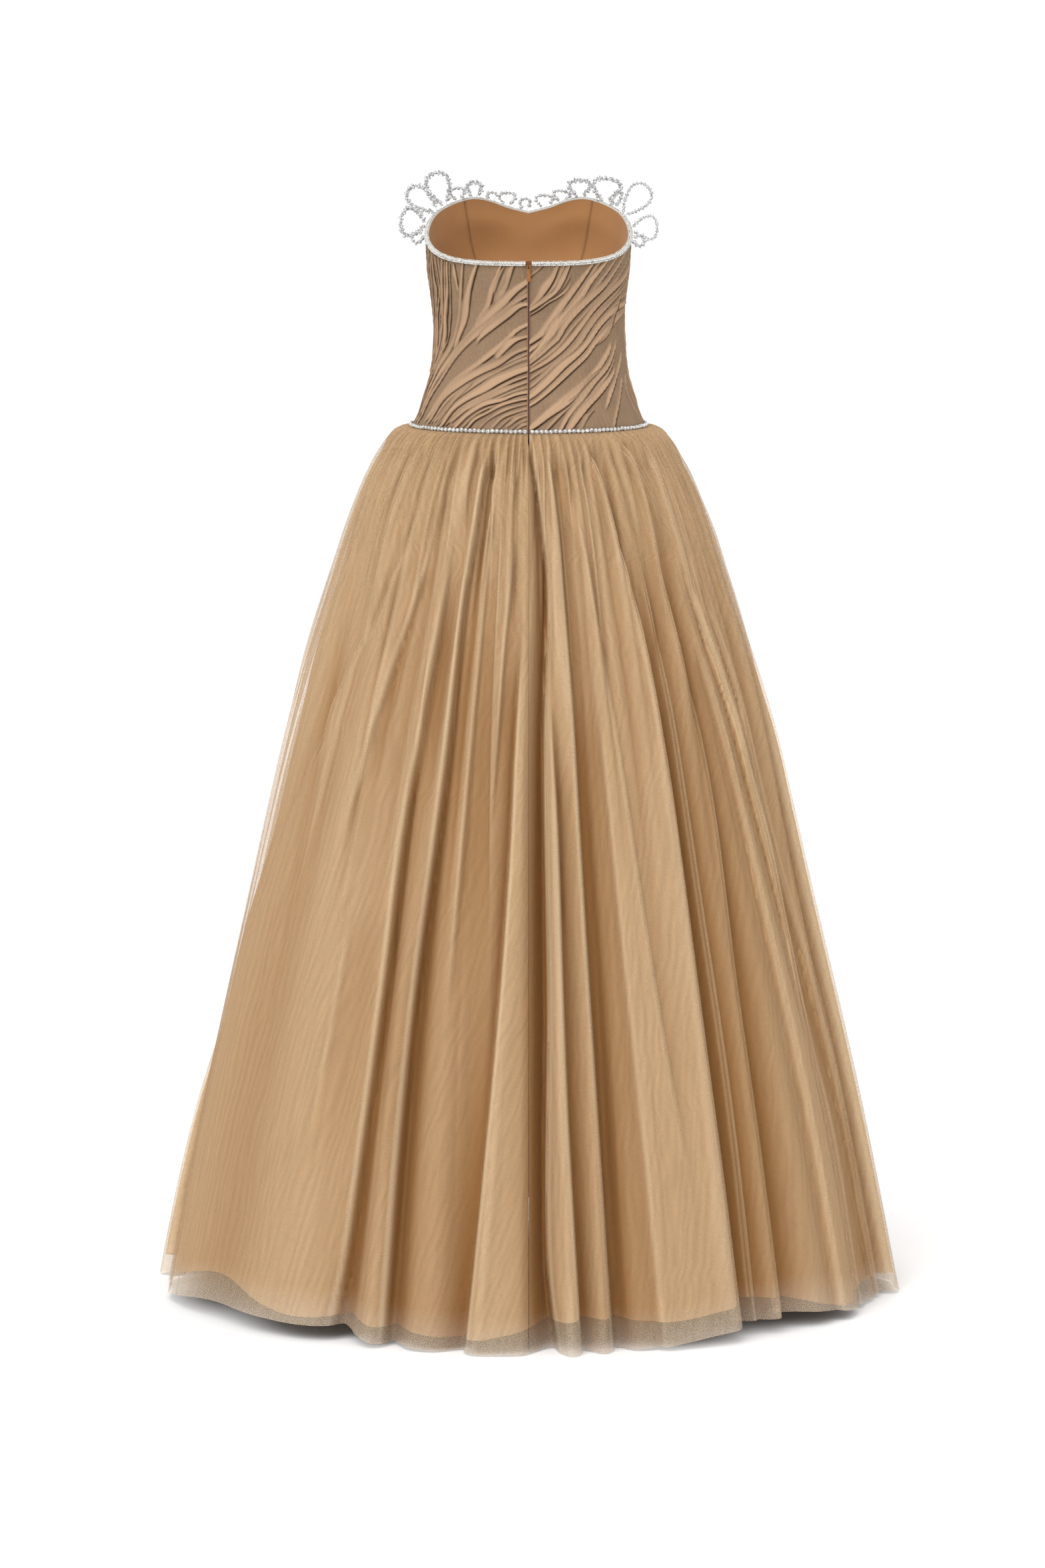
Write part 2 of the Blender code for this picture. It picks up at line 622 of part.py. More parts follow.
def build():
    clear_scene()
    chiffon = make_material("chiffon", (0.45, 0.31, 0.21), 0.75)
    satin = make_material("satin", (0.44, 0.20, 0.08), 0.45)
    tulle = make_material("tulle", (0.57, 0.38, 0.20), 0.8)
    underlayer = make_material("underlayer", (0.50, 0.31, 0.15), 0.8)
    crystal = make_material("crystal", (0.9, 0.9, 0.92), 0.05)
    copper = make_material("copper_paint", (0.48, 0.19, 0.07), 0.35, 1.0)
    zip_tape = make_material("zip_tape", (0.42, 0.16, 0.06), 0.6)

    for row in BODICE_PANELS:
        draped_panel(named(PANEL_COLUMNS, row), chiffon)

    shift = edge_shift(0.0)
    seam = math.degrees(SEAM_GAP / 2 / 0.125)
    lining_panel("lining_left", lambda z: seam - princess_angle(z), lambda z: -shift, 18, satin)
    lining_panel("lining_right", lambda z: shift, lambda z: princess_angle(z) - seam, 18, satin)
    lining_panel("lining_front", lambda z: princess_angle(z) + seam, lambda z: 360 - princess_angle(z) - seam, 10, satin)

    tuck_edge = BODICE_WALL + 0.45 * TUCK_HEIGHT * 1.32 + SEAM_GAP
    neck_gap = math.degrees((SLIDER_SIZE[0] / 2 + 1.5 * SEAM_GAP) / 0.13)
    band("neck_trim", neck_gap, 360 - neck_gap, 60, lambda a: neck_height(a) - NECK_TRIM_HEIGHT, neck_height,
         tuck_edge, NECK_TRIM_DEPTH, crystal)
    waist_gap = math.degrees(0.0016 / 0.15)
    band("waist_trim", waist_gap, 360 - waist_gap, 54, lambda a: SEAM_HEIGHT + SEAM_GAP,
         lambda a: SEAM_HEIGHT + SEAM_GAP + WAIST_TRIM_HEIGHT, tuck_edge + 0.0004, WAIST_TRIM_DEPTH, crystal)

    for name, left, right in SKIRT_PANELS:
        skirt_panel("overskirt_" + name, left, right, tulle)
        underskirt_panel("underskirt_" + name, left, right, underlayer)

    trim_out = tuck_edge + NECK_TRIM_DEPTH
    for k, row in enumerate(STRANDS, 1):
        strand_curve(f"crystal_strand_{k:02d}", named(STRAND_COLUMNS, row), trim_out, crystal)

    zip_pieces(copper, zip_tape)


build()
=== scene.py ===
import math

import bpy
import numpy as np
from mathutils import Matrix, Vector


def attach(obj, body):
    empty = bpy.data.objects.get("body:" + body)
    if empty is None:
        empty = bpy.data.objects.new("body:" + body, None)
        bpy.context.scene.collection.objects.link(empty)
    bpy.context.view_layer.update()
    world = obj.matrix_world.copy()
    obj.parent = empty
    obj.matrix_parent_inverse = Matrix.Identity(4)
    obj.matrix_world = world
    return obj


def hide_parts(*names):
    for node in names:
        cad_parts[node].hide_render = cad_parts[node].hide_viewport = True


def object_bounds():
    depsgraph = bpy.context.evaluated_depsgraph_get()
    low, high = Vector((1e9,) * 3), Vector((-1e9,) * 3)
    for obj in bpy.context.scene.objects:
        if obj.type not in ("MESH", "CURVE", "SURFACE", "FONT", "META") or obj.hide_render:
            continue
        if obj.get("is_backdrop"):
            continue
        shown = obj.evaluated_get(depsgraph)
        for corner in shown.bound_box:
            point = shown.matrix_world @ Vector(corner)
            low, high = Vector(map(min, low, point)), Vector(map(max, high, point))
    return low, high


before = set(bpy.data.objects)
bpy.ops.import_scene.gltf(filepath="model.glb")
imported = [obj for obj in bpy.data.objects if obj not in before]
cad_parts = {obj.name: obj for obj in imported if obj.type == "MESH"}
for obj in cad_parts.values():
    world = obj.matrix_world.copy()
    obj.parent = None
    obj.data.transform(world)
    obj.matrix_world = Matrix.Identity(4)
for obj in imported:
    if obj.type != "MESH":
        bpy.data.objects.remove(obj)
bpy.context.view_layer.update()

# --- Camera, floor and studio light -------------------------------------------------------------------------
# A long lens well above the neck edge looks at the back of the gown. The floor is a plain white paper sweep at
# the hem. The light is a bright pale room, a wide soft window light from behind the camera's left shoulder, a weak
# lamp at the right and a large soft one beyond the gown.
CAMERA_DISTANCE, CAMERA_HEIGHT, AIM_HEIGHT, CAMERA_SIDE = 9.6, 0.737, -0.586, -0.0079
LENS = 168.55
FLOOR_HEIGHT = -1.2572


def linear(hex_colour):
    """A linear colour from an sRGB hex value."""
    parts = [int(hex_colour[k : k + 2], 16) / 255.0 for k in (1, 3, 5)]
    return tuple(p / 12.92 if p <= 0.04045 else ((p + 0.055) / 1.055) ** 2.4 for p in parts) + (1.0,)


def add_node(tree, kind, inputs=None, **attributes):
    """Adds a shader node with attributes, and inputs by name or number: values, or nodes or outputs to link."""
    node = tree.nodes.new("ShaderNode" + kind)
    for key, value in attributes.items():
        setattr(node, key, value)
    for key, value in (inputs or {}).items():
        source = getattr(value, "outputs", [value])[0]
        if isinstance(source, bpy.types.NodeSocket):
            tree.links.new(source, node.inputs[key])
        else:
            node.inputs[key].default_value = value
    return node


def mix(tree, share, first, second, blend_type="MIX"):
    """A colour from the first to the second by a share; each is a value, or a node or an output to link."""
    return add_node(tree, "Mix", {0: share, 6: first, 7: second}, data_type="RGBA", blend_type=blend_type).outputs[2]


def read_between(tree, source, low, high, at_low, at_high):
    """Maps a source between low and high to a value between at_low and at_high."""
    return add_node(tree, "MapRange", {0: source, 1: low, 2: high, 3: at_low, 4: at_high}).outputs[0]


def new_material(name, **shader_settings):
    """A material with a Principled shader, and the shader with these sockets set."""
    material = bpy.data.materials.new(name)
    material.use_nodes = True
    shader = material.node_tree.nodes["Principled BSDF"]
    for key, value in shader_settings.items():
        shader.inputs[key.replace("_", " ")].default_value = value
    return material, shader


def roughen(material, shader, source, strength, distance):
    """Gives the shader a bump from a texture."""
    bump = add_node(material.node_tree, "Bump", {"Height": source, "Strength": strength, "Distance": distance})
    material.node_tree.links.new(bump.outputs[0], shader.inputs["Normal"])


def two_tone(name, texture, dark, light, in_place=True, channel=0, **shader_settings):
    """A material between two colours along a texture (kind, settings, attributes); also its shader and texture."""
    material, shader = new_material(name, **shader_settings)
    tree = material.node_tree
    kind, settings, attributes = texture
    place = {0: add_node(tree, "NewGeometry").outputs["Position"]} if in_place else {}
    pattern = add_node(tree, kind, {**settings, **place}, **attributes)
    tint = mix(tree, pattern.outputs[channel], linear(dark), linear(light))
    tree.links.new(tint, shader.inputs["Base Color"])
    return material, shader, pattern


def mesh_piece(name, points, faces, materials, smooth=True):
    """A mesh object from an array of points and a list or array of faces."""
    mesh = bpy.data.meshes.new(name)
    points = np.asarray(points, dtype=np.float32).reshape(-1, 3)
    if isinstance(faces, np.ndarray):
        count, sides = faces.shape
        mesh.vertices.add(len(points))
        mesh.vertices.foreach_set("co", points.ravel())
        mesh.loops.add(count * sides)
        mesh.loops.foreach_set("vertex_index", faces.ravel().astype(np.int32))
        mesh.polygons.add(count)
        mesh.polygons.foreach_set("loop_start", np.arange(0, count * sides, sides, dtype=np.int32))
        mesh.update(calc_edges=True)
    else:
        mesh.from_pydata(points.tolist(), [], faces)
    mesh.validate()
    if smooth:
        mesh.shade_smooth()
    for material in materials:
        mesh.materials.append(material)
    piece = bpy.data.objects.new(name, mesh)
    bpy.context.scene.collection.objects.link(piece)
    return piece


camera_data = bpy.data.cameras.new("camera")
camera_data.lens = LENS
camera_data.sensor_width = 36.0
camera_data.clip_end = 400.0
camera = bpy.data.objects.new("camera", camera_data)
camera.location = (CAMERA_SIDE, -CAMERA_DISTANCE, CAMERA_HEIGHT)
aim = Vector((CAMERA_SIDE, 0.0, AIM_HEIGHT)) - camera.location
camera.rotation_euler = aim.to_track_quat("-Z", "Y").to_euler()
bpy.context.scene.collection.objects.link(camera)
bpy.context.scene.camera = camera
bpy.context.scene.view_settings.view_transform = "Standard"

# White paper: matt, with a faint fibre mottle
fibres = ("TexNoise", {"Scale": 3.0, "Detail": 4.0}, {})
paper = two_tone("white_paper", fibres, "#EFEFEF", "#F5F5F5", in_place=False, Roughness=0.9)[0]
floor = mesh_piece(
    "floor",
    [(-150, -150, FLOOR_HEIGHT), (150, -150, FLOOR_HEIGHT), (150, 150, FLOOR_HEIGHT), (-150, 150, FLOOR_HEIGHT)],
    [(0, 1, 2, 3)],
    [paper],
)
floor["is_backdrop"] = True

# The room: bright pale walls all round and a softer ceiling
world = bpy.data.worlds.new("pale_room")
world.use_nodes = True
tree = world.node_tree
room = add_node(tree, "TexCoord")
up = add_node(tree, "SeparateXYZ", {0: room.outputs["Generated"]})
bright = read_between(tree, up.outputs["Z"], 0.02, 0.30, 1.00, 0.72)
tree.nodes["Background"].inputs["Color"].default_value = linear("#FDFDFD")
tree.links.new(bright, tree.nodes["Background"].inputs["Strength"])
bpy.context.scene.world = world


def soft_lamp(name, place, target, size, power):
    """A large square lamp that faces a point."""
    data = bpy.data.lights.new(name, "AREA")
    data.shape, data.size, data.energy = "SQUARE", size, power
    data.color = (1.0, 0.985, 0.965)
    lamp = bpy.data.objects.new(name, data)
    lamp.location = place
    lamp.rotation_euler = (Vector(target) - Vector(place)).to_track_quat("-Z", "Y").to_euler()
    bpy.context.scene.collection.objects.link(lamp)


sun_data = bpy.data.lights.new("window_light", "SUN")
sun_data.energy, sun_data.angle = 2.42, math.radians(44.0)
sun = bpy.data.objects.new("window_light", sun_data)
sun.rotation_euler = Vector((0.25, 0.56, -0.86)).to_track_quat("-Z", "Y").to_euler()
bpy.context.scene.collection.objects.link(sun)
soft_lamp("lamp_right", (3.4, -2.6, 0.6), (0.0, 0.0, -0.5), 1.8, 8.0)
soft_lamp("lamp_front", (1.8, 6.4, 1.8), (0.0, 0.0, -0.5), 3.0, 130.0)

# --- Skirt: three soft tulle layers and the opaque underskirt --------------------------------------------------
# Each layer is cut as a front and two back panels, gathered finely into the dropped waist seam, and left raw at
# the hem. The gathers run together into long soft folds. The sheer outer layers end below the opaque one.
WAIST_SEAM, SKIRT_TOP, HEM, ZIP_END = -0.1115, -0.1118, -1.256, -0.124
SKIRT_SLOT = 0.35  # degrees left open on each side of the zip
FINE_GATHER, WIDE_GATHER = 0.0060, 0.0085  # depth of the ridges right below the seam and of those further down
CREASE_PRESS = 1.30  # how much deeper the listed creases lie than the depths given for them
OUTER_SHARE, OUTER_TURN = 0.95, 0.2  # depth and turn in degrees of the sheer layer's creases beside the others'
STAND_OFF = 0.014  # how far the sheer layer stands off the others at the sides
SKIRT_SECTIONS = (  # height, half width, back depth, front depth, share of the hem's fold depth
    (-0.1118, 0.1560, 0.1220, 0.1160, 0.00),
    (-0.1200, 0.1750, 0.1410, 0.1360, 0.03),
    (-0.1420, 0.1935, 0.1610, 0.1570, 0.10),
    (-0.1900, 0.2200, 0.1890, 0.1870, 0.20),
    (-0.2750, 0.2515, 0.2215, 0.2200, 0.34),
    (-0.4800, 0.3150, 0.2850, 0.2840, 0.58),
    (-0.7400, 0.3775, 0.3500, 0.3490, 0.76),
    (-1.0000, 0.4380, 0.4130, 0.4120, 0.90),
    (HEM, 0.4890, 0.4650, 0.4640, 1.00),
)
WIDE_FOLDS = (  # angle from the centre back, depth, half span in degrees, hem lift
    (-84.0, 0.014, 5.0, 0.004), (-58.0, 0.013, 8.0, 0.024), (-32.0, 0.030, 4.4, 0.020), (-23.0, 0.020, 3.2, 0.004),
    (-11.0, 0.018, 3.0, 0.0), (3.2, 0.040, 3.0, 0.0), (9.0, 0.016, 2.2, 0.0), (14.0, 0.020, 2.2, 0.0),
    (37.0, 0.028, 4.0, 0.018), (46.6, 0.022, 3.6, 0.022), (70.0, 0.026, 4.4, 0.004), (97.0, 0.018, 4.0, 0.0),
    (113.0, 0.030, 4.4, 0.006), (124.0, 0.016, 3.4, 0.0), (141.0, 0.034, 4.4, 0.014), (152.0, 0.020, 3.4, 0.0),
    (169.0, 0.026, 4.0, 0.0), (183.0, 0.034, 4.0, 0.004), (193.0, 0.016, 3.0, 0.0), (211.0, 0.030, 4.4, 0.014),
    (226.0, 0.018, 3.8, 0.0), (241.0, 0.030, 4.4, 0.006), (257.0, 0.020, 4.0, 0.0),
)
# Creases placed on the back: depth in mm, soft side in mm (positive when the soft side is to the right),
# then (height in mm, angle) from the top down; a crease fades out at its ends
HAND_CREASES = (
    (15, 26, (
        (-200, -23.5), (-300, -24.5), (-500, -27.0), (-610, -28.7), (-820, -29.5), (-1130, -31.0), (-1290, -33.0))),
    (19, 22, ((-135, -16.5), (-236, -17.3), (-310, -18.9), (-500, -19.6), (-820, -22.8), (-1290, -23.2))),
    (15, -20, ((-300, -1.9), (-500, -3.8), (-610, -4.4), (-820, -6.2), (-1290, -11.0))),
    (8, 16, ((-190, -3.6), (-306, -5.0), (-394, -6.3), (-500, -7.2), (-640, -8.6))),
    (19, -18, ((-112, 0.6), (-236, 4.2), (-306, 5.3), (-500, 3.4), (-820, 3.3), (-1130, 2.6), (-1290, 4.6))),
    (16, 18, ((-400, 5.6), (-500, 6.1), (-610, 6.7), (-930, 7.1), (-1290, 8.6))),
    (17, 24, ((-135, 8.6), (-236, 10.3), (-306, 10.6), (-500, 11.5), (-820, 12.4), (-1290, 13.9))),
    (6, 22, ((-160, 15.5), (-270, 18.5), (-500, 22.0), (-870, 25.9), (-1130, 28.8))),
    (23, 26, (
        (-118, 25.0), (-155, 27.4), (-236, 29.6), (-306, 31.6), (-394, 33.2), (-610, 35.6), (-930, 35.5),
        (-1290, 36.2))),
    (14, 20, ((-118, 42.5), (-160, 44.9), (-306, 44.2), (-500, 47.9), (-870, 45.8), (-1210, 44.7), (-1290, 44.2))),
    (10, -24, ((-190, 50.5), (-306, 54.0), (-394, 56.6), (-500, 60.0), (-820, 66.0), (-1030, 70.0), (-1290, 67.0))),
    (7, 18, ((-200, 37.0), (-400, 39.5), (-800, 40.5), (-1290, 40.0))),
    (7, -20, ((-250, 58.0), (-500, 66.0), (-800, 73.0), (-1290, 77.0))),
    (7, -20, ((-330, 50.0), (-560, 54.5), (-900, 56.5), (-1290, 57.0))),
    (5, -16, ((-480, 62.0), (-700, 69.0), (-1000, 74.0))),
    (9, 26, ((-180, -30.5), (-306, -34.0), (-420, -38.0), (-600, -42.5), (-760, -44.5))),
    (5, 30, ((-220, -45.0), (-440, -51.0), (-820, -56.0))),
    (6, -26, ((-160, -38.0), (-300, -45.0), (-500, -60.0), (-820, -74.0))),
    (7, 22, ((-150, -10.5), (-260, -12.0), (-420, -13.0), (-640, -14.2), (-900, -15.4))),
    (6, -18, ((-420, 16.5), (-700, 18.0), (-1290, 20.5))),
    (4, 26, ((-700, -37.5), (-900, -38.5), (-1100, -40.0))),
)


def smooth_read(table, column, x):
    """Smooth values at x (an array) of one column of a table whose first column rises or falls steadily."""
    rows = sorted((row[0], row[column]) for row in table)
    xs, ys = np.array([r[0] for r in rows]), np.array([r[1] for r in rows])
    slopes = np.empty_like(ys)
    slopes[1:-1] = (ys[2:] - ys[:-2]) / (xs[2:] - xs[:-2])
    slopes[0] = (ys[1] - ys[0]) / (xs[1] - xs[0])
    slopes[-1] = (ys[-1] - ys[-2]) / (xs[-1] - xs[-2])
    x = np.clip(np.asarray(x, dtype=float), xs[0], xs[-1])
    i = np.clip(np.searchsorted(xs, x) - 1, 0, len(xs) - 2)
    span = xs[i + 1] - xs[i]
    t = (x - xs[i]) / span
    t2, t3 = t * t, t * t * t
    return (
        (2 * t3 - 3 * t2 + 1) * ys[i]
        + (t3 - 2 * t2 + t) * slopes[i] * span
        + (3 * t2 - 2 * t3) * ys[i + 1]
        + (t3 - t2) * slopes[i + 1] * span
    )


def ramp(x, low, high):
    """0 below low, 1 above high, and smooth between them."""
    t = np.clip((x - low) / (high - low), 0.0, 1.0)
    return t * t * (3 - 2 * t)


def bell(x, spread):
    """1 at 0, and smoothly down to nothing beyond the spread."""
    return np.exp(-((x / spread) ** 2))


def wrap(angle):
    """The same angle between -180 and 180 degrees."""
    return (angle + 180.0) % 360.0 - 180.0


def ring(half_width, back_depth, front_depth, angle, out):
    """x and y on the ellipse of a section, moved out along its normal."""
    a = np.radians(angle)
    depth = np.where(np.cos(a) >= 0, back_depth, front_depth)
    nx, ny = depth * np.sin(a), -half_width * np.cos(a)
    size = np.hypot(nx, ny)
    return half_width * np.sin(a) + out * nx / size, -depth * np.cos(a) + out * ny / size


def random_creases(seed, count, top, bottom, depth, width, drift, keep_clear=()):
    """Creases spread unevenly all round: (depth mm, soft side mm, path) rows like the hand-placed ones."""
    chance = np.random.default_rng(seed)
    rows = []
    for k in range(count):
        angle = -180.0 + 360.0 * (k + chance.uniform(0.05, 0.95)) / count
        start, end = chance.uniform(*top), chance.uniform(*bottom)
        low = angle + chance.uniform(-drift, drift)
        middle = angle + (low - angle) * 0.5 + chance.uniform(-drift, drift) * 0.3
        size = chance.uniform(*depth)
        if any(abs(wrap(angle - place)) < half for place, half in keep_clear):
            size *= 0.35
        soft = chance.uniform(*width) * chance.choice((-1.0, 1.0))
        rows.append((size, soft, ((start, angle), ((start + end) / 2, middle), (end, low))))
    return rows


def crease_depth(creases, angle, height, radius):
    """How deep the creases are, and where the thin edges of their overlapping rolls run, which take a painted
    highlight.

    A crease is steep on one side, rolls up softly on the other and fades at its ends. The cloth beyond the steep
    side stands a little proud, as an overlapping roll does."""
    total, edge = np.zeros_like(angle), np.zeros_like(angle)
    for depth, soft, path in creases:
        top, bottom = path[0][0] / 1000.0, path[-1][0] / 1000.0
        rows = np.nonzero((height[:, 0] <= top) & (height[:, 0] >= bottom))[0]
        columns = np.nonzero(np.abs(wrap(angle[0] - path[len(path) // 2][1])) < 30.0)[0]
        if len(rows) < 2 or len(columns) < 2:
            continue
        part = (slice(rows[0], rows[-1] + 1), slice(columns[0], columns[-1] + 1))
        z = height[part[0], :1]
        line = smooth_read([(low / 1000.0, a) for low, a in path], 1, z)
        away = np.radians(wrap(angle[part] - line)) * radius[part]
        length = top - bottom
        # a crease that starts in the gathers is there at once, and a deep one lower down grows slowly
        grow = 0.024 if top > -0.140 else min(0.04 + depth * 0.008, length * 0.45)
        fade = ramp(top - z, -0.0001, grow)
        if bottom > HEM - 0.01:
            fade = fade * ramp(z - bottom, 0.0, min(0.30, length * 0.5))
        grown = ramp(radius[part], 0.14, 0.47)
        size = abs(soft) / 1000.0 * (0.40 + 1.10 * grown)
        across = away * np.sign(soft)
        steep = 0.06 * size + 0.0008
        roll = np.exp(-np.maximum(across, 0) / size) * (across >= 0)
        roll = roll + np.exp(np.minimum(across, 0) / steep) * (across < 0)
        lip = bell(across + 0.50 * size, 0.42 * size) * (across < 0)
        total[part] += depth / 1000.0 * fade * (0.85 + 0.45 * grown) * (roll - 0.26 * lip)
        thin = bell(across + 0.0015 + 0.16 * size, 0.0012 + 0.05 * size) * fade * min(1.0, depth / 12.0)
        edge[part] = np.maximum(edge[part], thin)
    return total, edge


def skirt_surface(angle, height, creases, gathers, inside, share):
    """Points of one skirt layer on a grid of angles and heights, the painted shade of its folds, and where its edges
    take a painted highlight.
    """
    sizes = [smooth_read(SKIRT_SECTIONS, k, height) for k in (1, 2, 3)]
    growth = smooth_read(SKIRT_SECTIONS, 4, height)
    radius = (sizes[0] + np.where(np.cos(np.radians(angle)) >= 0, sizes[1], sizes[2])) / 2
    wide = np.zeros_like(angle)
    for place, depth, half, _ in WIDE_FOLDS:
        away = np.abs(wrap(angle - place))
        wide += np.where(away < half * 1.6, depth * 0.5 * (1 + np.cos(np.pi * np.minimum(away / (half * 1.6), 1))), 0)
    starts = np.array([row[0] for row in WIDE_FOLDS] + [WIDE_FOLDS[0][0] + 360.0])
    lifts = np.array([row[3] for row in WIDE_FOLDS] + [WIDE_FOLDS[0][3]])
    place = (angle - starts[0]) % 360.0 + starts[0]
    k = np.clip(np.searchsorted(starts, place) - 1, 0, len(starts) - 2)
    f = (place - starts[k]) / (starts[k + 1] - starts[k])
    f = f * f * (3 - 2 * f)
    lift = lifts[k] + (lifts[k + 1] - lifts[k]) * f
    # the gathers: narrow ridges of uneven width that sway and die out at different heights
    chance = np.random.default_rng(11)
    turns = np.radians(angle) * gathers
    sway = 1.1 * np.sin(3 * np.radians(angle) + chance.uniform(0, 6)) + 0.9 * np.sin(11 * np.radians(angle) + 1.7)
    sway = sway + 0.55 * np.sin(29 * np.radians(angle) + chance.uniform(0, 6))
    sway = sway + 4.0 * (height + 0.11) * np.sin(5 * np.radians(angle) + 0.6)
    wave = np.abs(np.sin((turns + 1.5 * sway) / 2))
    second = np.abs(np.sin((turns * 0.53 + 1.9 * sway + 1.0) / 2))
    reach = 0.10 + 0.09 * np.sin(17 * np.radians(angle) + 0.4) + 0.05 * np.sin(41 * np.radians(angle))
    fine = (1 - ramp(WAIST_SEAM - height, reach * 0.25, reach * 1.5 + 0.03)) * ramp(WAIST_SEAM - height, 0.0, 0.005)
    middle = (1 - ramp(WAIST_SEAM - height, reach + 0.02, reach * 3.0 + 0.22)) * ramp(WAIST_SEAM - height, 0.002, 0.05)
    gather = FINE_GATHER * fine * (wave - 0.75) + WIDE_GATHER * middle * (second - 0.75)
    depth, edge = crease_depth(creases, angle, height, radius)
    depth = depth * ramp(WAIST_SEAM - height, 0.0003, 0.007)
    # the sheer layer stands off the others at the left side, and a little at the upper right
    down = WAIST_SEAM - height
    stand = bell(wrap(angle + 84.0), 20.0) * ramp(down, 0.05, 0.15) * (1 - ramp(down, 0.50, 0.70))
    upper = bell(wrap(angle - 84.0), 16.0) * ramp(down, 0.02, 0.08) * (1 - ramp(down, 0.18, 0.32))
    stand = stand + 0.6 * upper
    inside = inside + (STAND_OFF * stand if inside > 0.001 else 0.0)
    out = gather - (wide * growth * 0.8 + depth) * share - inside
    x, y = ring(*sizes, angle, out)
    # where the skirt leaves the seam nearly level, its folds stand up and down
    level = 1.05 * (1 - ramp(down, 0.012, 0.075)) * ramp(down, 0.0, 0.004)
    up = (gather + 0.0030 - depth * share - inside) * level
    # painted shade: the flat left side, where the window light falls strongest, is painted a little deeper in colour
    close = 0.0062 * bell(wrap(angle + 60.0), 20.0) * ramp(down, 0.25, 0.75)
    # painted shade in the creases, broad folds and the gathers' valleys, weaker near the waist so that the top reads
    # lighter
    shade = (depth + wide * growth * 0.5 - gather * 2.2) * (0.48 + 0.52 * ramp(down, 0.08, 0.30)) + close
    return np.stack([x, y, height + up + lift * growth**3], axis=-1), shade, edge


def grid_faces(rows, columns):
    """Quads of a grid whose columns run to the right seen from outside, and whose rows run down."""
    first = (np.arange(rows - 1)[:, None] * columns + np.arange(columns - 1)[None, :]).ravel()
    return np.stack([first, first + columns, first + columns + 1, first + 1], axis=1)


def cloth_grid(name, points, uv, materials, **shades):
    """A sheet from a grid of points, with its cloth coordinates in metres and its shades as attributes."""
    rows, columns = points.shape[:2]
    faces = grid_faces(rows, columns)
    piece = mesh_piece(name, points, faces, materials)
    layer = piece.data.uv_layers.new(name="cloth")
    layer.data.foreach_set("uv", uv.reshape(-1, 2)[faces.ravel()].astype(np.float32).ravel())
    for shade_name, shade in shades.items():
        attribute = piece.data.attributes.new(shade_name, "FLOAT", "POINT")
        attribute.data.foreach_set("value", shade.astype(np.float32).ravel())
    return piece


def tulle_cloth(name, light, dark, deep, ridge_highlight, cover, grain_turn, grain_low, grain_high, hem_painted_light=0.0):
    """Soft nylon tulle: a matt hexagon net, see-through, in whose overlaps the threads make a wood-grain moire, with
    painted shade in its folds and painted highlights on its ridges and edges.
    """
    material, shader = new_material(
        name, Roughness=0.82, IOR=1.5, Specular_IOR_Level=0.10, Sheen_Weight=0.10, Sheen_Roughness=0.5,
        Sheen_Tint=linear("#E0B888"),
    )
    tree = material.node_tree
    cloth = add_node(tree, "UVMap", uv_map="cloth")
    # moire figures 8 to 20 mm wide and several times as long; the real net's 1.2 mm holes are drawn twice as
    # coarse, the finest that shows
    stretch = add_node(tree, "Mapping", {0: cloth, "Scale": (1.0, 0.22, 1.0), "Rotation": (0, 0, grain_turn)})
    moire = {"Scale": 25.0, "Distortion": 18.0, "Detail": 2.0, "Detail Scale": 0.55, "Detail Roughness": 0.6}
    grain = add_node(tree, "TexWave", {0: stretch, **moire})
    soft = add_node(tree, "TexNoise", {0: stretch, "Scale": 9.0, "Detail": 3.0, "Roughness": 0.5})
    net = add_node(tree, "TexVoronoi", {0: cloth, "Scale": 420.0}, feature="DISTANCE_TO_EDGE")
    fold = add_node(tree, "Attribute", attribute_name="fold").outputs[2]
    edge = add_node(tree, "Attribute", attribute_name="edge").outputs[2]
    colour = mix(tree, soft, linear(dark), linear(light))
    figure = read_between(tree, grain.outputs[1], 0.0, 1.0, grain_low, grain_high)
    colour = mix(tree, 1.0, colour, figure, "MULTIPLY")
    # painted shade: the deeper the cloth lies in its folds, the nearer its colour goes to the deep brown
    hollow_shade = read_between(tree, fold, 0.003, 0.028, 0.0, 0.78)
    colour = mix(tree, hollow_shade, colour, linear(deep))
    # painted highlight where the threads of an overlapping edge close up and catch the light: lighter on the proud
    # rolls and along their thin edges
    proud = read_between(tree, fold, -0.0002, -0.0030, 0.0, 0.40)
    colour = mix(tree, proud, colour, linear(ridge_highlight))
    thin = read_between(tree, edge, 0.15, 0.9, 0.0, 0.62)
    colour = mix(tree, thin, colour, linear("#E2CBA8"))
    # a single layer at the hem is paler than the layers above it, and is painted paler still: painted light, as if
    # bright light came through it from beyond, where the floor under the skirt lies in shade
    height = add_node(tree, "SeparateXYZ", {0: cloth}).outputs["Y"]
    low = read_between(tree, height, -1.205, -1.250, 0.0, hem_painted_light)
    colour = mix(tree, low, colour, linear("#F1EAE0"))
    tree.links.new(colour, shader.inputs["Base Color"])
    if cover < 1.0:
        weave = read_between(tree, net, 0.0, 0.35, min(1.0, cover + 0.10), cover - 0.06)
        tree.links.new(weave, shader.inputs["Alpha"])
    roughen(material, shader, net, 0.12, 0.0004)
    return material


outer_tulle = tulle_cloth(
    "sheer_tulle_outer_layer", "#C6AA87", "#B99A75", "#94632A", "#D4BB9C", 0.40, 0.3, 0.93, 1.05, 0.30)
middle_tulle = tulle_cloth(
    "soft_tulle_middle_layers", "#C4A37C", "#B69266", "#86500F", "#D2B592", 0.88, -0.2, 0.87, 1.06)
lining_tulle = tulle_cloth("close_tulle_underskirt", "#BC986C", "#AD8658", "#7A460C", "#C4A073", 1.0, 0.1, 0.95, 1.02)

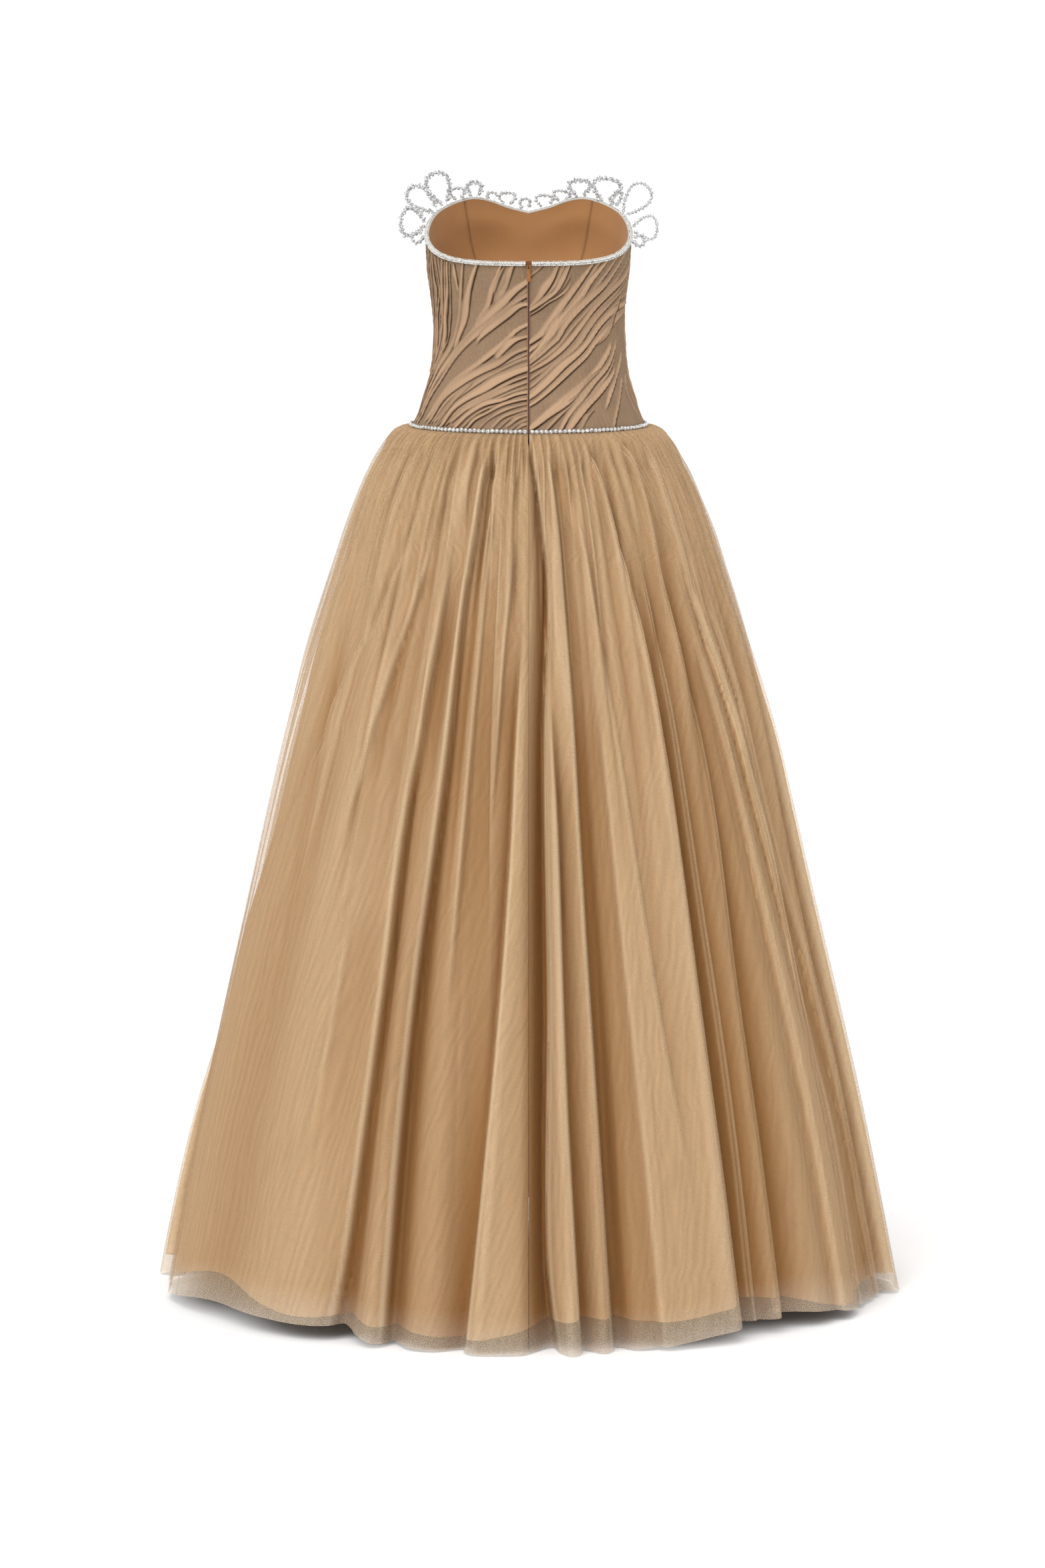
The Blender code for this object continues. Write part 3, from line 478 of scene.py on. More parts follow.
SKIRT_PANELS = (("back_left", -90.0, 0.0), ("back_right", 0.0, 90.0), ("front", 90.0, 270.0))
LAYERS = (
    # name, material, seed, gathers round, inside the crests, share of folds, hem above, columns per degree at the
    # back and at the front
    ("outer", outer_tulle, 11, 96, 0.0005, 0.94, 0.000, 3.0, 2.0),
    ("middle", middle_tulle, 23, 96, 0.0045, 1.00, 0.040, 4.2, 2.3),
    ("under", lining_tulle, 37, 70, 0.0115, 0.92, 0.052, 1.4, 1.0),
)
hand_creases = [(depth * CREASE_PRESS, soft, path) for depth, soft, path in HAND_CREASES]
hand_places = [(path[len(path) // 2][1], 2.2) for _, _, path in HAND_CREASES] + [(-62.0, 20.0)]
skirt_cloths = []
for layer_name, material, seed, gathers, inside, share, shorter, back_density, front_density in LAYERS:
    creases = hand_creases
    if layer_name == "outer":
        creases = [(d * OUTER_SHARE, s, tuple((z, a + OUTER_TURN) for z, a in p)) for d, s, p in hand_creases]
    # between them, unevenly: long rolls, the gathers' own creases, finer ones, faint ones of this layer alone, and
    # at the sides and front deep folds like those listed for the back
    creases = creases + random_creases(11, 34, (-190, -118), (-1290, -420), (3.0, 8.0), (9, 18), 5.0, hand_places)
    creases += random_creases(12, 84, (-136, -113), (-560, -190), (3.0, 9.0), (5, 12), 3.0)
    creases += random_creases(13, 130, (-124, -113), (-330, -150), (1.8, 4.6), (2.5, 6.5), 2.0)
    creases += random_creases(seed + 3, 62, (-420, -130), (-1292, -760), (0.6, 1.8), (8, 22), 5.0, ((-60.0, 22.0),))
    long_folds = random_creases(19, 26, (-420, -150), (-1292, -1290), (12.0, 32.0), (16, 30), 6.0)
    creases += [fold for fold in long_folds if abs(wrap(fold[2][0][1])) > 84]
    for panel_name, left, right in SKIRT_PANELS:
        steps = int((right - left) * (front_density if panel_name == "front" else back_density))
        down = 106 if layer_name != "under" else 70
        t = np.linspace(0.0, 1.0, down)[:, None]
        f = np.linspace(0.0, 1.0, steps)[None, :]
        angle = left + (right - left) * f + 0 * t
        # the inner layers' hems are a little uneven, so more of the sheer one shows in places
        uneven = 0.62 + 0.30 * np.sin(np.radians(angle) * 4.0 + 0.5) + 0.16 * np.sin(np.radians(angle) * 11.0)
        height = SKIRT_TOP + (HEM + shorter * uneven - SKIRT_TOP) * (0.35 * t + 0.65 * t**1.8)
        close = height > ZIP_END
        low = left + np.where(close & (left == 0.0), SKIRT_SLOT, 0.03)
        high = right - np.where(close & (right == 0.0), SKIRT_SLOT, 0.03)
        angle = low + (high - low) * f
        points, shade, edge = skirt_surface(angle, height, creases, gathers, inside, share)
        across = np.cumsum(np.linalg.norm(np.diff(points, axis=1, prepend=points[:, :1]), axis=2), axis=1)
        uv = np.stack([across, height], axis=-1)
        piece = cloth_grid(f"skirt_{layer_name}_{panel_name}", points, uv, [material], fold=shade, edge=edge)
        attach(piece, "gown")
        if layer_name != "outer":
            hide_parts(("overskirt_" if layer_name == "middle" else "underskirt_") + panel_name)
        skirt_cloths.append((piece, layer_name))

SKIRT_CUTS = {  # width at the hem and length of each flat panel; the top edge is gathered
    "back_left": (1.05, 1.24), "back_right": (1.05, 1.24), "front": (2.15, 1.24),
}
for piece, layer_name in skirt_cloths:
    width, length = SKIRT_CUTS[piece.name.split("_", 2)[2]]
    if layer_name == "under":
        length -= 0.05

# --- Bodice: three panels of crepe chiffon draped in slanting ribbons -------------------------------------------
# Chiffon is folded into narrow overlapping ribbons by hand and tacked to the panel under it, so the ribbons run
# slanting up to the right, unevenly, over a flat ground. Each has a crisp lower edge and a soft upper one.
BODICE_SECTIONS = (  # height, half width, back depth, front depth of the panels' inner face
    (-0.1115, 0.1520, 0.1180, 0.1120), (-0.0955, 0.1440, 0.1125, 0.1075), (-0.0700, 0.1362, 0.1045, 0.1010),
    (-0.0430, 0.1278, 0.0955, 0.0955), (0.0000, 0.1237, 0.0885, 0.0930), (0.0350, 0.1236, 0.0895, 0.0985),
    (0.0700, 0.1270, 0.0945, 0.1090), (0.1000, 0.1306, 0.0985, 0.1150), (0.1300, 0.1320, 0.1000, 0.1140),
    (0.1550, 0.1308, 0.0995, 0.1090), (0.1850, 0.1275, 0.0985, 0.1020),
)
NECK_EDGE = (  # angle from the centre back, height
    (0.0, 0.1090), (30.0, 0.1095), (50.0, 0.1133), (64.0, 0.1200), (78.0, 0.1310), (90.0, 0.1420), (100.0, 0.1530),
    (112.0, 0.1650), (125.0, 0.1735), (138.0, 0.1800), (147.0, 0.1820), (157.0, 0.1780), (168.0, 0.1690),
    (180.0, 0.1620),
)
BODICE_WALL = 0.0012
BODICE_RADIUS = 0.128  # turns an angle on the bodice into metres round it
CUP_ANGLE, CUP_HEIGHT, CUP_SPREAD_ANGLE, CUP_SPREAD_HEIGHT, CUP_DEPTH = 29.0, 0.118, 19.0, 0.042, 0.017
RIBBON_WIDER, RIBBON_HIGHER = 1.55, 1.35  # how much wider and higher ribbons are laid than their tables say
FRONT_COUNT, FRONT_LOW, FRONT_HIGH = 44, -112.0, 172.0  # ribbons of the front, and where they end, in mm
# Ribbons: width in mm, height in mm, then (angle, height in mm) along the crisp edge
BACK_LEFT_RIBBONS = (
    (2.0, 1.2, ((-75.8, 123), (-84.2, 66), (-84.3, 17), (-84.3, -22), (-84.3, -64), (-84.1, -89))),
    (3.5, 2.2, ((-69.5, 120), (-68.7, 80), (-67.3, 68), (-73.5, 30), (-74.1, -7), (-80.9, -42), (-79.0, -78))),
    (3.0, 2.2, ((-65.4, 112), (-63.8, 70), (-69.8, 35), (-69.9, 9), (-72.0, -21), (-79.6, -61), (-79.1, -90))),
    (4.9, 1.2, ((-57.2, 108), (-61.5, 54), (-64.1, 19), (-69.9, -16), (-83.1, -49))),
    (5.4, 2.6, ((-52.5, 105), (-54.1, 69), (-58.0, 32), (-58.4, 10), (-62.0, -12), (-77.7, -44))),
    (2.0, 1.6, ((-50.6, 103), (-52.4, 64), (-54.6, 25), (-58.0, 0), (-69.2, -28), (-82.0, -66), (-81.3, -98))),
    (4.4, 1.8, ((-46.7, 103), (-45.6, 87), (-45.0, 67))),
    (6.4, 1.2, ((-39.7, 104), (-42.3, 70), (-46.0, 31), (-53.0, -7), (-69.4, -43), (-78.6, -83))),
    (7.4, 2.0, ((-29.8, 105), (-35.6, 70), (-39.6, 33), (-45.3, 9), (-50.6, -14))),
    (6.4, 1.9, ((-15.3, 104), (-20.2, 74), (-23.8, 49), (-30.1, 27), (-36.1, 9))),
    (2.5, 1.2, ((-13.5, 104), (-17.2, 86), (-20.7, 66))),
    (7.4, 1.3, ((-8.4, 103), (-12.4, 76), (-16.7, 57), (-21.2, 38))),
    (8.4, 1.8, ((0.9, 83), (-7.5, 68), (-13.1, 54), (-25.1, 30), (-38.2, 6), (-53.0, -24), (-66.3, -52),
        (-72.8, -82), (-77.9, -103))),
    (6.4, 1.4, ((1.3, 66), (-6.5, 56), (-15.6, 40), (-25.1, 22), (-38.2, 1), (-49.6, -21), (-60.5, -49),
        (-69.2, -79), (-73.6, -104))),
    (6.4, 1.7, ((1.8, 53), (-4.3, 50), (-11.1, 38), (-19.1, 25), (-30.1, 7), (-34.0, -3))),
    (7.9, 1.8, ((1.8, 28), (-6.6, 18), (-13.4, 2), (-22.4, -14), (-38.2, -39), (-51.6, -64), (-63.7, -100))),
    (5.9, 1.8, ((1.8, 12), (-6.6, 6), (-13.3, -6), (-20.0, -21))),
    (7.9, 1.4, ((1.8, -3), (-7.7, -11), (-17.6, -26), (-29.2, -38), (-41.2, -53), (-53.3, -74), (-60.5, -103))),
    (4.4, 1.0, ((1.1, -16), (-6.5, -22), (-17.5, -34), (-26.5, -45), (-36.3, -60), (-46.5, -78), (-54.9, -101))),
    (7.9, 2.6, ((1.1, -31), (-7.5, -38), (-17.1, -49), (-23.3, -58), (-35.2, -72), (-43.9, -87), (-48.7, -108))),
    (5.4, 1.2, ((1.1, -46), (-7.3, -53), (-16.6, -63), (-26.9, -74), (-35.3, -85), (-42.3, -99))),
    (4.9, 2.2, ((1.1, -60), (-7.1, -64), (-14.2, -71), (-24.4, -78), (-33.5, -92), (-39.0, -108))),
    (3.5, 1.8, ((1.0, -68), (-6.0, -71), (-14.0, -77), (-21.8, -87), (-28.7, -97), (-31.7, -108))),
    (3.5, 1.2, ((1.0, -80), (-5.8, -85), (-13.5, -93), (-18.6, -107))),
    (3.5, 1.2, ((1.0, -88), (-4.8, -93), (-10.2, -103))),
    (2.5, 1.0, ((1.0, -99), (-3.7, -104), (-6.3, -110))),
    (4.0, 0.8, ((-32.6, -46), (-42.1, -68), (-51.5, -96), (-53.1, -107))),
)
BACK_RIGHT_RIBBONS = (
    (6.4, 1.8, ((17.5, 105), (14.5, 86), (10.8, 72), (4.9, 56), (0.3, 46))),
    (5.9, 1.8, ((24.3, 105), (21.2, 86), (17.0, 70), (11.0, 59), (4.4, 49), (0.3, 44))),
    (2.0, 1.8, ((26.3, 83), (22.1, 70), (17.1, 62), (12.1, 56), (6.6, 47), (0.3, 39))),
    (7.9, 2.0, ((40.0, 107), (32.6, 83), (26.9, 66), (21.3, 49), (16.3, 30), (10.0, 15), (3.4, 5), (0.3, 1))),
    (7.4, 2.6, ((50.2, 108), (39.3, 81), (34.8, 65), (28.0, 46), (20.4, 27), (13.4, 8), (8.3, -5), (3.3, -15),
        (0.3, -20))),
    (6.9, 1.6, ((70.4, 116), (59.3, 93), (50.4, 74), (39.0, 56), (28.9, 37), (22.8, 22), (18.6, 7),
        (13.4, -2), (10.0, -9), (0.3, -25))),
    (6.9, 1.6, ((84.3, 100), (72.7, 82), (56.6, 64), (43.8, 45), (35.5, 26), (27.7, 7), (21.5, -6),
        (15.5, -16), (9.9, -24), (0.3, -35))),
    (5.4, 1.2, ((84.3, 78), (63.7, 58), (49.0, 38), (39.7, 19), (32.8, 1), (24.9, -13), (15.4, -28),
        (4.3, -49), (0.3, -55))),
    (7.9, 2.4, ((84.3, 50), (62.9, 40), (49.1, 23), (39.0, 1), (31.1, -14), (22.3, -28), (12.9, -47),
        (3.1, -65), (0.3, -69))),
    (6.4, 1.8, ((84.3, 41), (66.5, 28), (56.6, 15), (44.2, -1), (37.8, -15), (26.9, -33), (17.2, -50),
        (9.3, -64), (4.0, -73), (0.3, -78))),
    (8.4, 2.4, ((62.1, 5), (53.4, -19), (41.1, -42), (30.2, -61), (20.2, -78), (11.7, -90), (3.7, -104),
        (0.3, -109))),
    (5.9, 1.6, ((68.9, 9), (62.9, -10), (54.6, -31), (41.5, -51), (30.5, -72), (22.2, -90), (15.5, -112))),
    (6.9, 1.9, ((64.5, -30), (54.8, -48), (44.2, -64), (34.7, -79), (27.9, -93), (19.8, -112))),
    (4.4, 1.8, ((75.1, -9), (68.6, -30), (60.7, -49), (51.0, -69), (44.3, -88))),
    (4.9, 1.2, ((71.5, -45), (61.4, -68), (48.2, -107))),
    (3.5, 1.2, ((79.7, -39), (72.6, -62), (76.5, -87), (80.9, -106))),
    (2.5, 1.2, ((84.3, -49), (84.3, -74), (84.3, -106))),
    (4.0, 1.2, ((72.2, 67), (67.4, 48), (62.1, 29), (56.6, 12), (44.1, -3))),
    (3.5, 0.9, ((47.5, -33), (37.9, -46), (27.8, -62), (19.4, -73))),
    (3.5, 0.9, ((38.1, -82), (32.4, -93), (26.3, -111))),
    (2.5, 1.0, ((8.6, 106), (6.8, 101), (4.9, 97), (0.3, 89))),
)


def unit(v):
    """The same vector, or each row of them, with length 1."""
    return v / (np.linalg.norm(v) if v.ndim == 1 else np.linalg.norm(v, axis=1)[:, None])


def length_along(line):
    """How far along a line of points each point is."""
    return np.concatenate([[0.0], np.cumsum(np.linalg.norm(np.diff(line, axis=0), axis=1))])


def neck_height(angle):
    """Height of the neck edge at an angle or an array of them."""
    return smooth_read(NECK_EDGE, 1, np.abs(wrap(np.asarray(angle, dtype=float))))


def body_surface(angle, height, out, cups=1.0):
    """Points of the bodice, out from the inner face of its panels, with a share of the cups' depth."""
    sizes = [smooth_read(BODICE_SECTIONS, k, height) for k in (1, 2, 3)]
    across = (np.abs(np.abs(wrap(angle)) - 180.0) - CUP_ANGLE) / CUP_SPREAD_ANGLE
    up = (height - CUP_HEIGHT) / CUP_SPREAD_HEIGHT
    x, y = ring(*sizes, angle, out + cups * CUP_DEPTH * np.exp(-across * across - up * up))
    return np.stack([x, y, height + 0 * x], axis=-1)


def ribbon_path(path):
    """A smooth path of 26 points through a ribbon's own, in metres along the ring and up, and how far along each is."""
    places = np.array([(math.radians(a) * BODICE_RADIUS, z / 1000.0) for a, z in path])
    run = np.concatenate([[0.0], np.cumsum(np.hypot(*np.diff(places, axis=0).T))])
    at = np.linspace(0.0, run[-1], 26)
    return np.stack([smooth_read(list(zip(run, places[:, k])), 1, at) for k in (0, 1)], axis=1), at / run[-1]


def lay_ribbons(ribbons, angle, height, seed):
    """Height of the draped ribbons over the ground, and the painted shadow under their crisp edges, on a grid."""
    u, v = np.radians(angle) * BODICE_RADIUS, height
    raised, edge = np.zeros_like(u), np.zeros_like(u)
    chance = np.random.default_rng(seed)
    for width, rise, path in ribbons:
        line, along = ribbon_path(path)
        width, rise = width / 1000.0 * RIBBON_WIDER, rise / 1000.0 * RIBBON_HIGHER
        near = (
            (u > line[:, 0].min() - 0.02) & (u < line[:, 0].max() + 0.02)
            & (v > line[:, 1].min() - 0.02) & (v < line[:, 1].max() + 0.02)
        )
        px, py = u[near], v[near]
        best = np.full(px.shape, 1.0)
        side, place = np.zeros_like(px), np.zeros_like(px)
        for k in range(len(line) - 1):
            (ax, ay), (bx, by) = line[k], line[k + 1]
            dx, dy = bx - ax, by - ay
            t = np.clip(((px - ax) * dx + (py - ay) * dy) / (dx * dx + dy * dy), 0.0, 1.0)
            away = np.hypot(px - ax - t * dx, py - ay - t * dy)
            # positive on the ribbon's own side: up and to the left of its crisp edge
            turn = np.sign((dx * (py - ay) - dy * (px - ax)) * (1.0 if dy < 0 else -1.0)) * -1.0
            closer = away < best
            best = np.where(closer, away, best)
            side = np.where(closer, turn, side)
            place = np.where(closer, along[k] + t * (along[k + 1] - along[k]), place)
        distance = best * side
        a, b, c = chance.uniform(0, 6, 3)
        swell = 1.0 + 0.22 * np.sin(place * 5 + a) + 0.10 * np.sin(place * 13 + b)
        ends = ramp(place, 0.0, 0.12) * (1 - ramp(place, 0.86, 1.0))
        # an end that is caught in the zip, a side seam, the neck or the waist doesn't taper
        if abs(path[0][0]) < 2.5 or abs(path[0][0]) > 83 or path[0][1] > 98:
            ends = np.where(place < 0.5, 1.0, ends)
        if path[-1][1] < -98 or abs(path[-1][0]) > 80 or abs(path[-1][0]) < 2.5:
            ends = np.where(place > 0.5, 1.0, ends)
        wide = width * swell * (0.45 + 0.55 * np.sin(np.pi * np.clip(place * 0.9 + 0.05, 0, 1)))
        # a knife fold: proud at its crisp edge, flat over half its width, then down to the ground
        up = ramp(distance, -0.0010, 0.0008)
        back = np.clip(distance / wide, 0.0, 1.0)
        fall = (1 - 0.35 * back) * (1 - ramp(back, 0.45, 1.0))
        shape = rise * ends * up * fall * (0.85 + 0.15 * np.sin(place * 9 + c))
        lifted = 0.84 + 0.16 * np.sin(place * 7.0 + b + c)
        # painted shadow: a narrow dark line just under each crisp edge, with a fainter wider one below it
        under = bell(distance + 0.0009, 0.0009) + 0.16 * bell(distance + 0.0022, 0.0018)
        under = np.minimum(under, 1.0) * ends * lifted * min(1.0, rise / 0.0020)
        was = raised[near]
        raised[near] = np.maximum(was * (1 - 0.35 * up * (back < 1)), shape) - under * 0.0012
        edge[near] = np.maximum(edge[near] * (1 - ramp(distance, -0.0006, 0.0008) * (back < 1) * ends), under)
    return raised, edge


def between_ribbons(ribbons):
    """Thinner, flatter ribbons half way between neighbours that run side by side."""
    extra = []
    for (width, rise, path), (next_width, next_rise, next_path) in zip(ribbons, ribbons[1:]):
        line, other = ribbon_path(path)[0], ribbon_path(next_path)[0]
        gap = float(np.mean(np.hypot(*(line - other).T)))
        if 0.005 < gap < 0.024:
            middle = (line + other)[::5] / 2
            rows = tuple((math.degrees(u / BODICE_RADIUS), v * 1000.0) for u, v in middle)
            extra.append((0.34 * (width + next_width), 0.30 * (rise + next_rise) + 0.3, rows))
    return extra + list(ribbons)


def front_ribbons(seed):
    """Ribbons of the front: slanting up to the right as on the back, some broken off part way."""
    chance = np.random.default_rng(seed)
    rows = []
    for k in range(FRONT_COUNT):
        start = 70.0 + 200.0 * k / FRONT_COUNT + chance.uniform(-2.0, 2.0) - 24.0
        lean = 46.0 + 16.0 * math.sin(k * 0.35) + chance.uniform(-4.0, 4.0)
        low, high = FRONT_LOW, FRONT_HIGH
        if chance.random() < 0.45:
            low, high = chance.uniform(FRONT_LOW, -10.0), chance.uniform(60.0, FRONT_HIGH)
        path = []
        for f in np.linspace(1.0, 0.0, 7):
            z = low + (high - low) * f
            share = (z - FRONT_LOW) / (FRONT_HIGH - FRONT_LOW)
            path.append((round(start + lean * share**1.25 + 2.0 * math.sin(3 * share + k), 1), round(z)))
        rows.append((chance.uniform(3.4, 7.2), chance.uniform(1.1, 2.5), tuple(path)))
    order = chance.permutation(len(rows))
    return [rows[k] for k in order]


def crepe_chiffon(name):
    """Silk crepe chiffon: a fine matt weave, with a grainy crinkle where it lies flat, lighter where it is doubled, and
    painted shadow under the ribbons' edges.
    """
    material, shader = new_material(
        name, Roughness=0.82, IOR=1.5, Specular_IOR_Level=0.15, Sheen_Weight=0.08, Sheen_Roughness=0.45,
        Sheen_Tint=linear("#E8CDB0"),
    )
    tree = material.node_tree
    cloth = add_node(tree, "UVMap", uv_map="cloth")
    fold = add_node(tree, "Attribute", attribute_name="fold").outputs[2]
    rise = add_node(tree, "Attribute", attribute_name="rise").outputs[2]
    # crinkle of the flat ground, 2 to 4 mm long
    crinkle = add_node(tree, "TexNoise", {0: cloth, "Scale": 330.0, "Detail": 4.0, "Roughness": 0.62})
    patch = add_node(tree, "TexNoise", {0: cloth, "Scale": 38.0, "Detail": 2.0})
    ground = mix(tree, patch, linear("#7C6651"), linear("#92785F"))
    ground = mix(tree, 1.0, ground, read_between(tree, crinkle, 0.3, 0.7, 0.86, 1.10), "MULTIPLY")
    doubled = read_between(tree, rise, 0.0001, 0.0018, 0.0, 1.0)
    colour = mix(tree, doubled, ground, linear("#AB8D71"))
    # painted shadow under the ribbons' crisp edges, nearly black at its darkest
    shadow = read_between(tree, fold, 0.05, 0.8, 0.0, 0.95)
    colour = mix(tree, shadow, colour, linear("#2C190B"))
    tree.links.new(colour, shader.inputs["Base Color"])
    roughen(material, shader, crinkle, 0.55, 0.0005)
    return material


chiffon = crepe_chiffon("crepe_chiffon")
BODICE_PANELS = (  # name, left and right seams, ribbons, columns, rows, flat width and length
    ("back_left", -84.0, 0.0, BACK_LEFT_RIBBONS, 212, 250, (0.215, 0.26)),
    ("back_right", 0.0, 84.0, BACK_RIGHT_RIBBONS, 212, 250, (0.215, 0.26)),
    ("front", 84.0, 276.0, front_ribbons(5), 260, 170, (0.52, 0.33)),
)
BODICE_SLOT, BODICE_SEAM = 0.45, 0.05  # degrees left open on each side of the zip and of a side seam
for panel_name, left, right, ribbons, columns, rows, flat in BODICE_PANELS:
    low = left + (BODICE_SLOT if left == 0.0 else BODICE_SEAM)
    high = right - (BODICE_SLOT if right == 0.0 else BODICE_SEAM)
    angle = np.repeat(np.linspace(low, high, columns)[None, :], rows, axis=0)
    top = neck_height(angle)
    height = top + (WAIST_SEAM - top) * np.linspace(0.0, 1.0, rows)[:, None]
    raised, edge = lay_ribbons(between_ribbons(ribbons), angle, height, 3)
    ends = ramp(top - height, 0.0, 0.006) * ramp(height - WAIST_SEAM, 0.0, 0.006)
    # the ribbons end in the side seams
    beside = np.minimum(angle - left if left != 0.0 else 90.0, right - angle if right != 0.0 else 90.0)
    caught = ramp(beside, 0.0, 2.2)
    raised, edge = raised * caught, edge * caught
    crease = 0.00025 * np.sin(angle * 2.1 + height * 90) * ends
    points = body_surface(angle, height, BODICE_WALL + raised * (ends * 0.75 + 0.25) + crease)
    u = np.radians(angle) * BODICE_RADIUS
    uv = np.stack([u, height], axis=-1)
    # the fold attribute carries the painted shadow under the ribbons' edges
    piece = cloth_grid(f"bodice_{panel_name}_chiffon", points, uv, [chiffon], fold=edge * ends, rise=raised)
    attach(piece, "gown")
    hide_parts("bodice_" + panel_name)

# --- Bodice lining: smooth satin between two princess seams -----------------------------------------------------
# Caramel duchess satin, cut as a centre front and two side panels, and turned in under the neck trim.
LINING_GAP, LINING_EASE, LINING_RADIUS, SEAM_HALF = 0.0014, 0.0030, 0.125, 0.05


def duchess_satin(name):
    """Duchess satin: a dense smooth weave with a soft broad gloss, and painted shade down inside the bodice and along
    its seams.
    """
    material, shader = new_material(name, Roughness=0.62, IOR=1.5, Sheen_Weight=0.15, Specular_IOR_Level=0.25)
    tree = material.node_tree
    cloth = add_node(tree, "UVMap", uv_map="cloth")
    fold = add_node(tree, "Attribute", attribute_name="fold").outputs[2]
    # weft lines 0.5 mm apart, the finest that shows
    stretch = add_node(tree, "Mapping", {0: cloth, "Scale": (0.15, 1.0, 1.0)})
    weft = add_node(tree, "TexNoise", {0: stretch, "Scale": 1400.0, "Detail": 2.0})
    cloudy = add_node(tree, "TexNoise", {0: cloth, "Scale": 22.0, "Detail": 2.0})
    colour = mix(tree, cloudy, linear("#AD7B4A"), linear("#B98759"))
    colour = mix(tree, 1.0, colour, read_between(tree, weft, 0.3, 0.7, 0.96, 1.03), "MULTIPLY")
    colour = mix(tree, fold, colour, linear("#5E3717"))
    tree.links.new(colour, shader.inputs["Base Color"])
    roughen(material, shader, weft, 0.08, 0.0002)
    return material


def princess_angle(height):
    """Degrees from the centre back of the seam between the centre front lining and the side lining."""
    return 139.0 + 13.0 * np.clip((0.18 - height) / 0.12, 0.0, 1.0)


satin = duchess_satin("duchess_satin")
LINING_PANELS = (
    # name, left and right seams at a height, columns, flat width and length
    ("left", lambda z: -princess_angle(z) + SEAM_HALF, lambda z: -BODICE_SLOT + 0 * z, 70, (0.32, 0.28)),
    ("right", lambda z: BODICE_SLOT + 0 * z, lambda z: princess_angle(z) - SEAM_HALF, 70, (0.32, 0.28)),
    ("front", lambda z: princess_angle(z) + SEAM_HALF, lambda z: 360 - SEAM_HALF - princess_angle(z), 50, (0.20, 0.29)),
)
for panel_name, left, right, columns, flat in LINING_PANELS:
    rows = 56
    level = np.linspace(1.0, 0.0, rows)[:, None]
    f = np.linspace(0.0, 1.0, columns)[None, :]
    height = np.full((rows, columns), WAIST_SEAM)
    for _ in range(4):
        angle = left(height) + (right(height) - left(height)) * f
        height = WAIST_SEAM + (neck_height(angle) - 0.0008 - WAIST_SEAM) * level
    # the seam draws in to a fine groove with small puckers beside it
    seam_away = np.abs(np.abs(wrap(angle)) - princess_angle(height)) * 0.0022
    seam = bell(seam_away, 0.0007) * ramp(height, -0.1, -0.02)
    pucker = 0.00030 * np.exp(-seam_away / 0.004) * np.sin(height * 700 + angle)
    ease = LINING_GAP + LINING_EASE * np.minimum(1.0, 2.5 * np.sin(np.pi * np.clip(level, 0, 1)))
    slack = 0.0004 * np.sin(angle * 0.21 + height * 30) * np.sin(np.pi * level)
    # pads fill the cups, so the lining lies nearly flat over them
    cups = 0.30 + 0.70 * ramp(level, 0.90, 1.0)
    points = body_surface(angle, height, -ease + 0.0008 * seam + pucker + slack, cups)
    # painted shade: darker further down inside the bodice and along the seams' grooves
    down = 0.30 * (1 - ramp(height, -0.06, 0.11))
    u = np.radians(angle) * LINING_RADIUS
    shade = np.clip(seam * 0.34 + down, 0.0, 0.9)
    piece = cloth_grid(f"lining_{panel_name}_satin", points, np.stack([u, height], axis=-1), [satin], fold=shade)
    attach(piece, "gown")
    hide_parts("lining_" + panel_name)

# --- Crystal trims: stones along the neck edge and a cup chain on the waist seam --------------------------------
# The neck edge carries a narrow band with three rows of small glued stones, open at the zip. The waist seam is
# covered by a chain of round cut stones, each held in its own metal cup, sewn down and split at the zip.
NECK_TRIM_BACK, NECK_TRIM_HEIGHT, NECK_STONE = 0.0030, 0.0046, 0.0024
WAIST_TRIM_BACK, WAIST_TRIM_MIDDLE, WAIST_STONE, WAIST_PITCH = 0.0032, -0.1090, 0.0052, 0.0061


def cut_crystal(name, light, dark, clear):
    """Machine-cut lead crystal: clear, hard bright facets that break up the pale room, helped by painted reflections.
    """
    glassy = {"Roughness": 0.05, "IOR": 1.58, "Transmission_Weight": clear, "Coat_Weight": 0.5, "Coat_Roughness": 0.02}
    material, shader = new_material(name, **glassy)
    tree = material.node_tree
    spot = add_node(tree, "NewGeometry").outputs["Position"]
    # painted reflections: the colour goes from near white to grey in patches about 2 mm across, in place of the room
    # seen in the facets
    painted_reflection = add_node(tree, "TexNoise", {0: spot, "Scale": 520.0, "Detail": 1.0})
    tint = mix(tree, read_between(tree, painted_reflection, 0.38, 0.54, 0.0, 1.0), linear(dark), linear(light))
    tree.links.new(tint, shader.inputs["Base Color"])
    return material


def stone_shape(sides, crown, depth):
    """A cut stone of diameter 1 that faces +Z: table, crown, girdle and a pointed back."""
    points, faces = [], []
    for radius, level, turn in ((0.27, crown, 0.0), (0.42, crown * 0.62, 0.5), (0.5, 0.0, 0.0)):
        for k in range(sides):
            a = 2 * math.pi * (k + turn) / sides
            points.append((radius * math.cos(a), radius * math.sin(a), level))
    points.append((0.0, 0.0, -depth))
    faces.append(tuple(range(sides)))
    for k in range(sides):
        n = (k + 1) % sides
        faces += [(k, sides + k, n), (n, sides + k, sides + n)]
        faces += [(sides + k, 2 * sides + k, 2 * sides + n), (sides + k, 2 * sides + n, sides + n)]
        faces.append((2 * sides + k, 3 * sides, 2 * sides + n))
    return np.array(points), faces


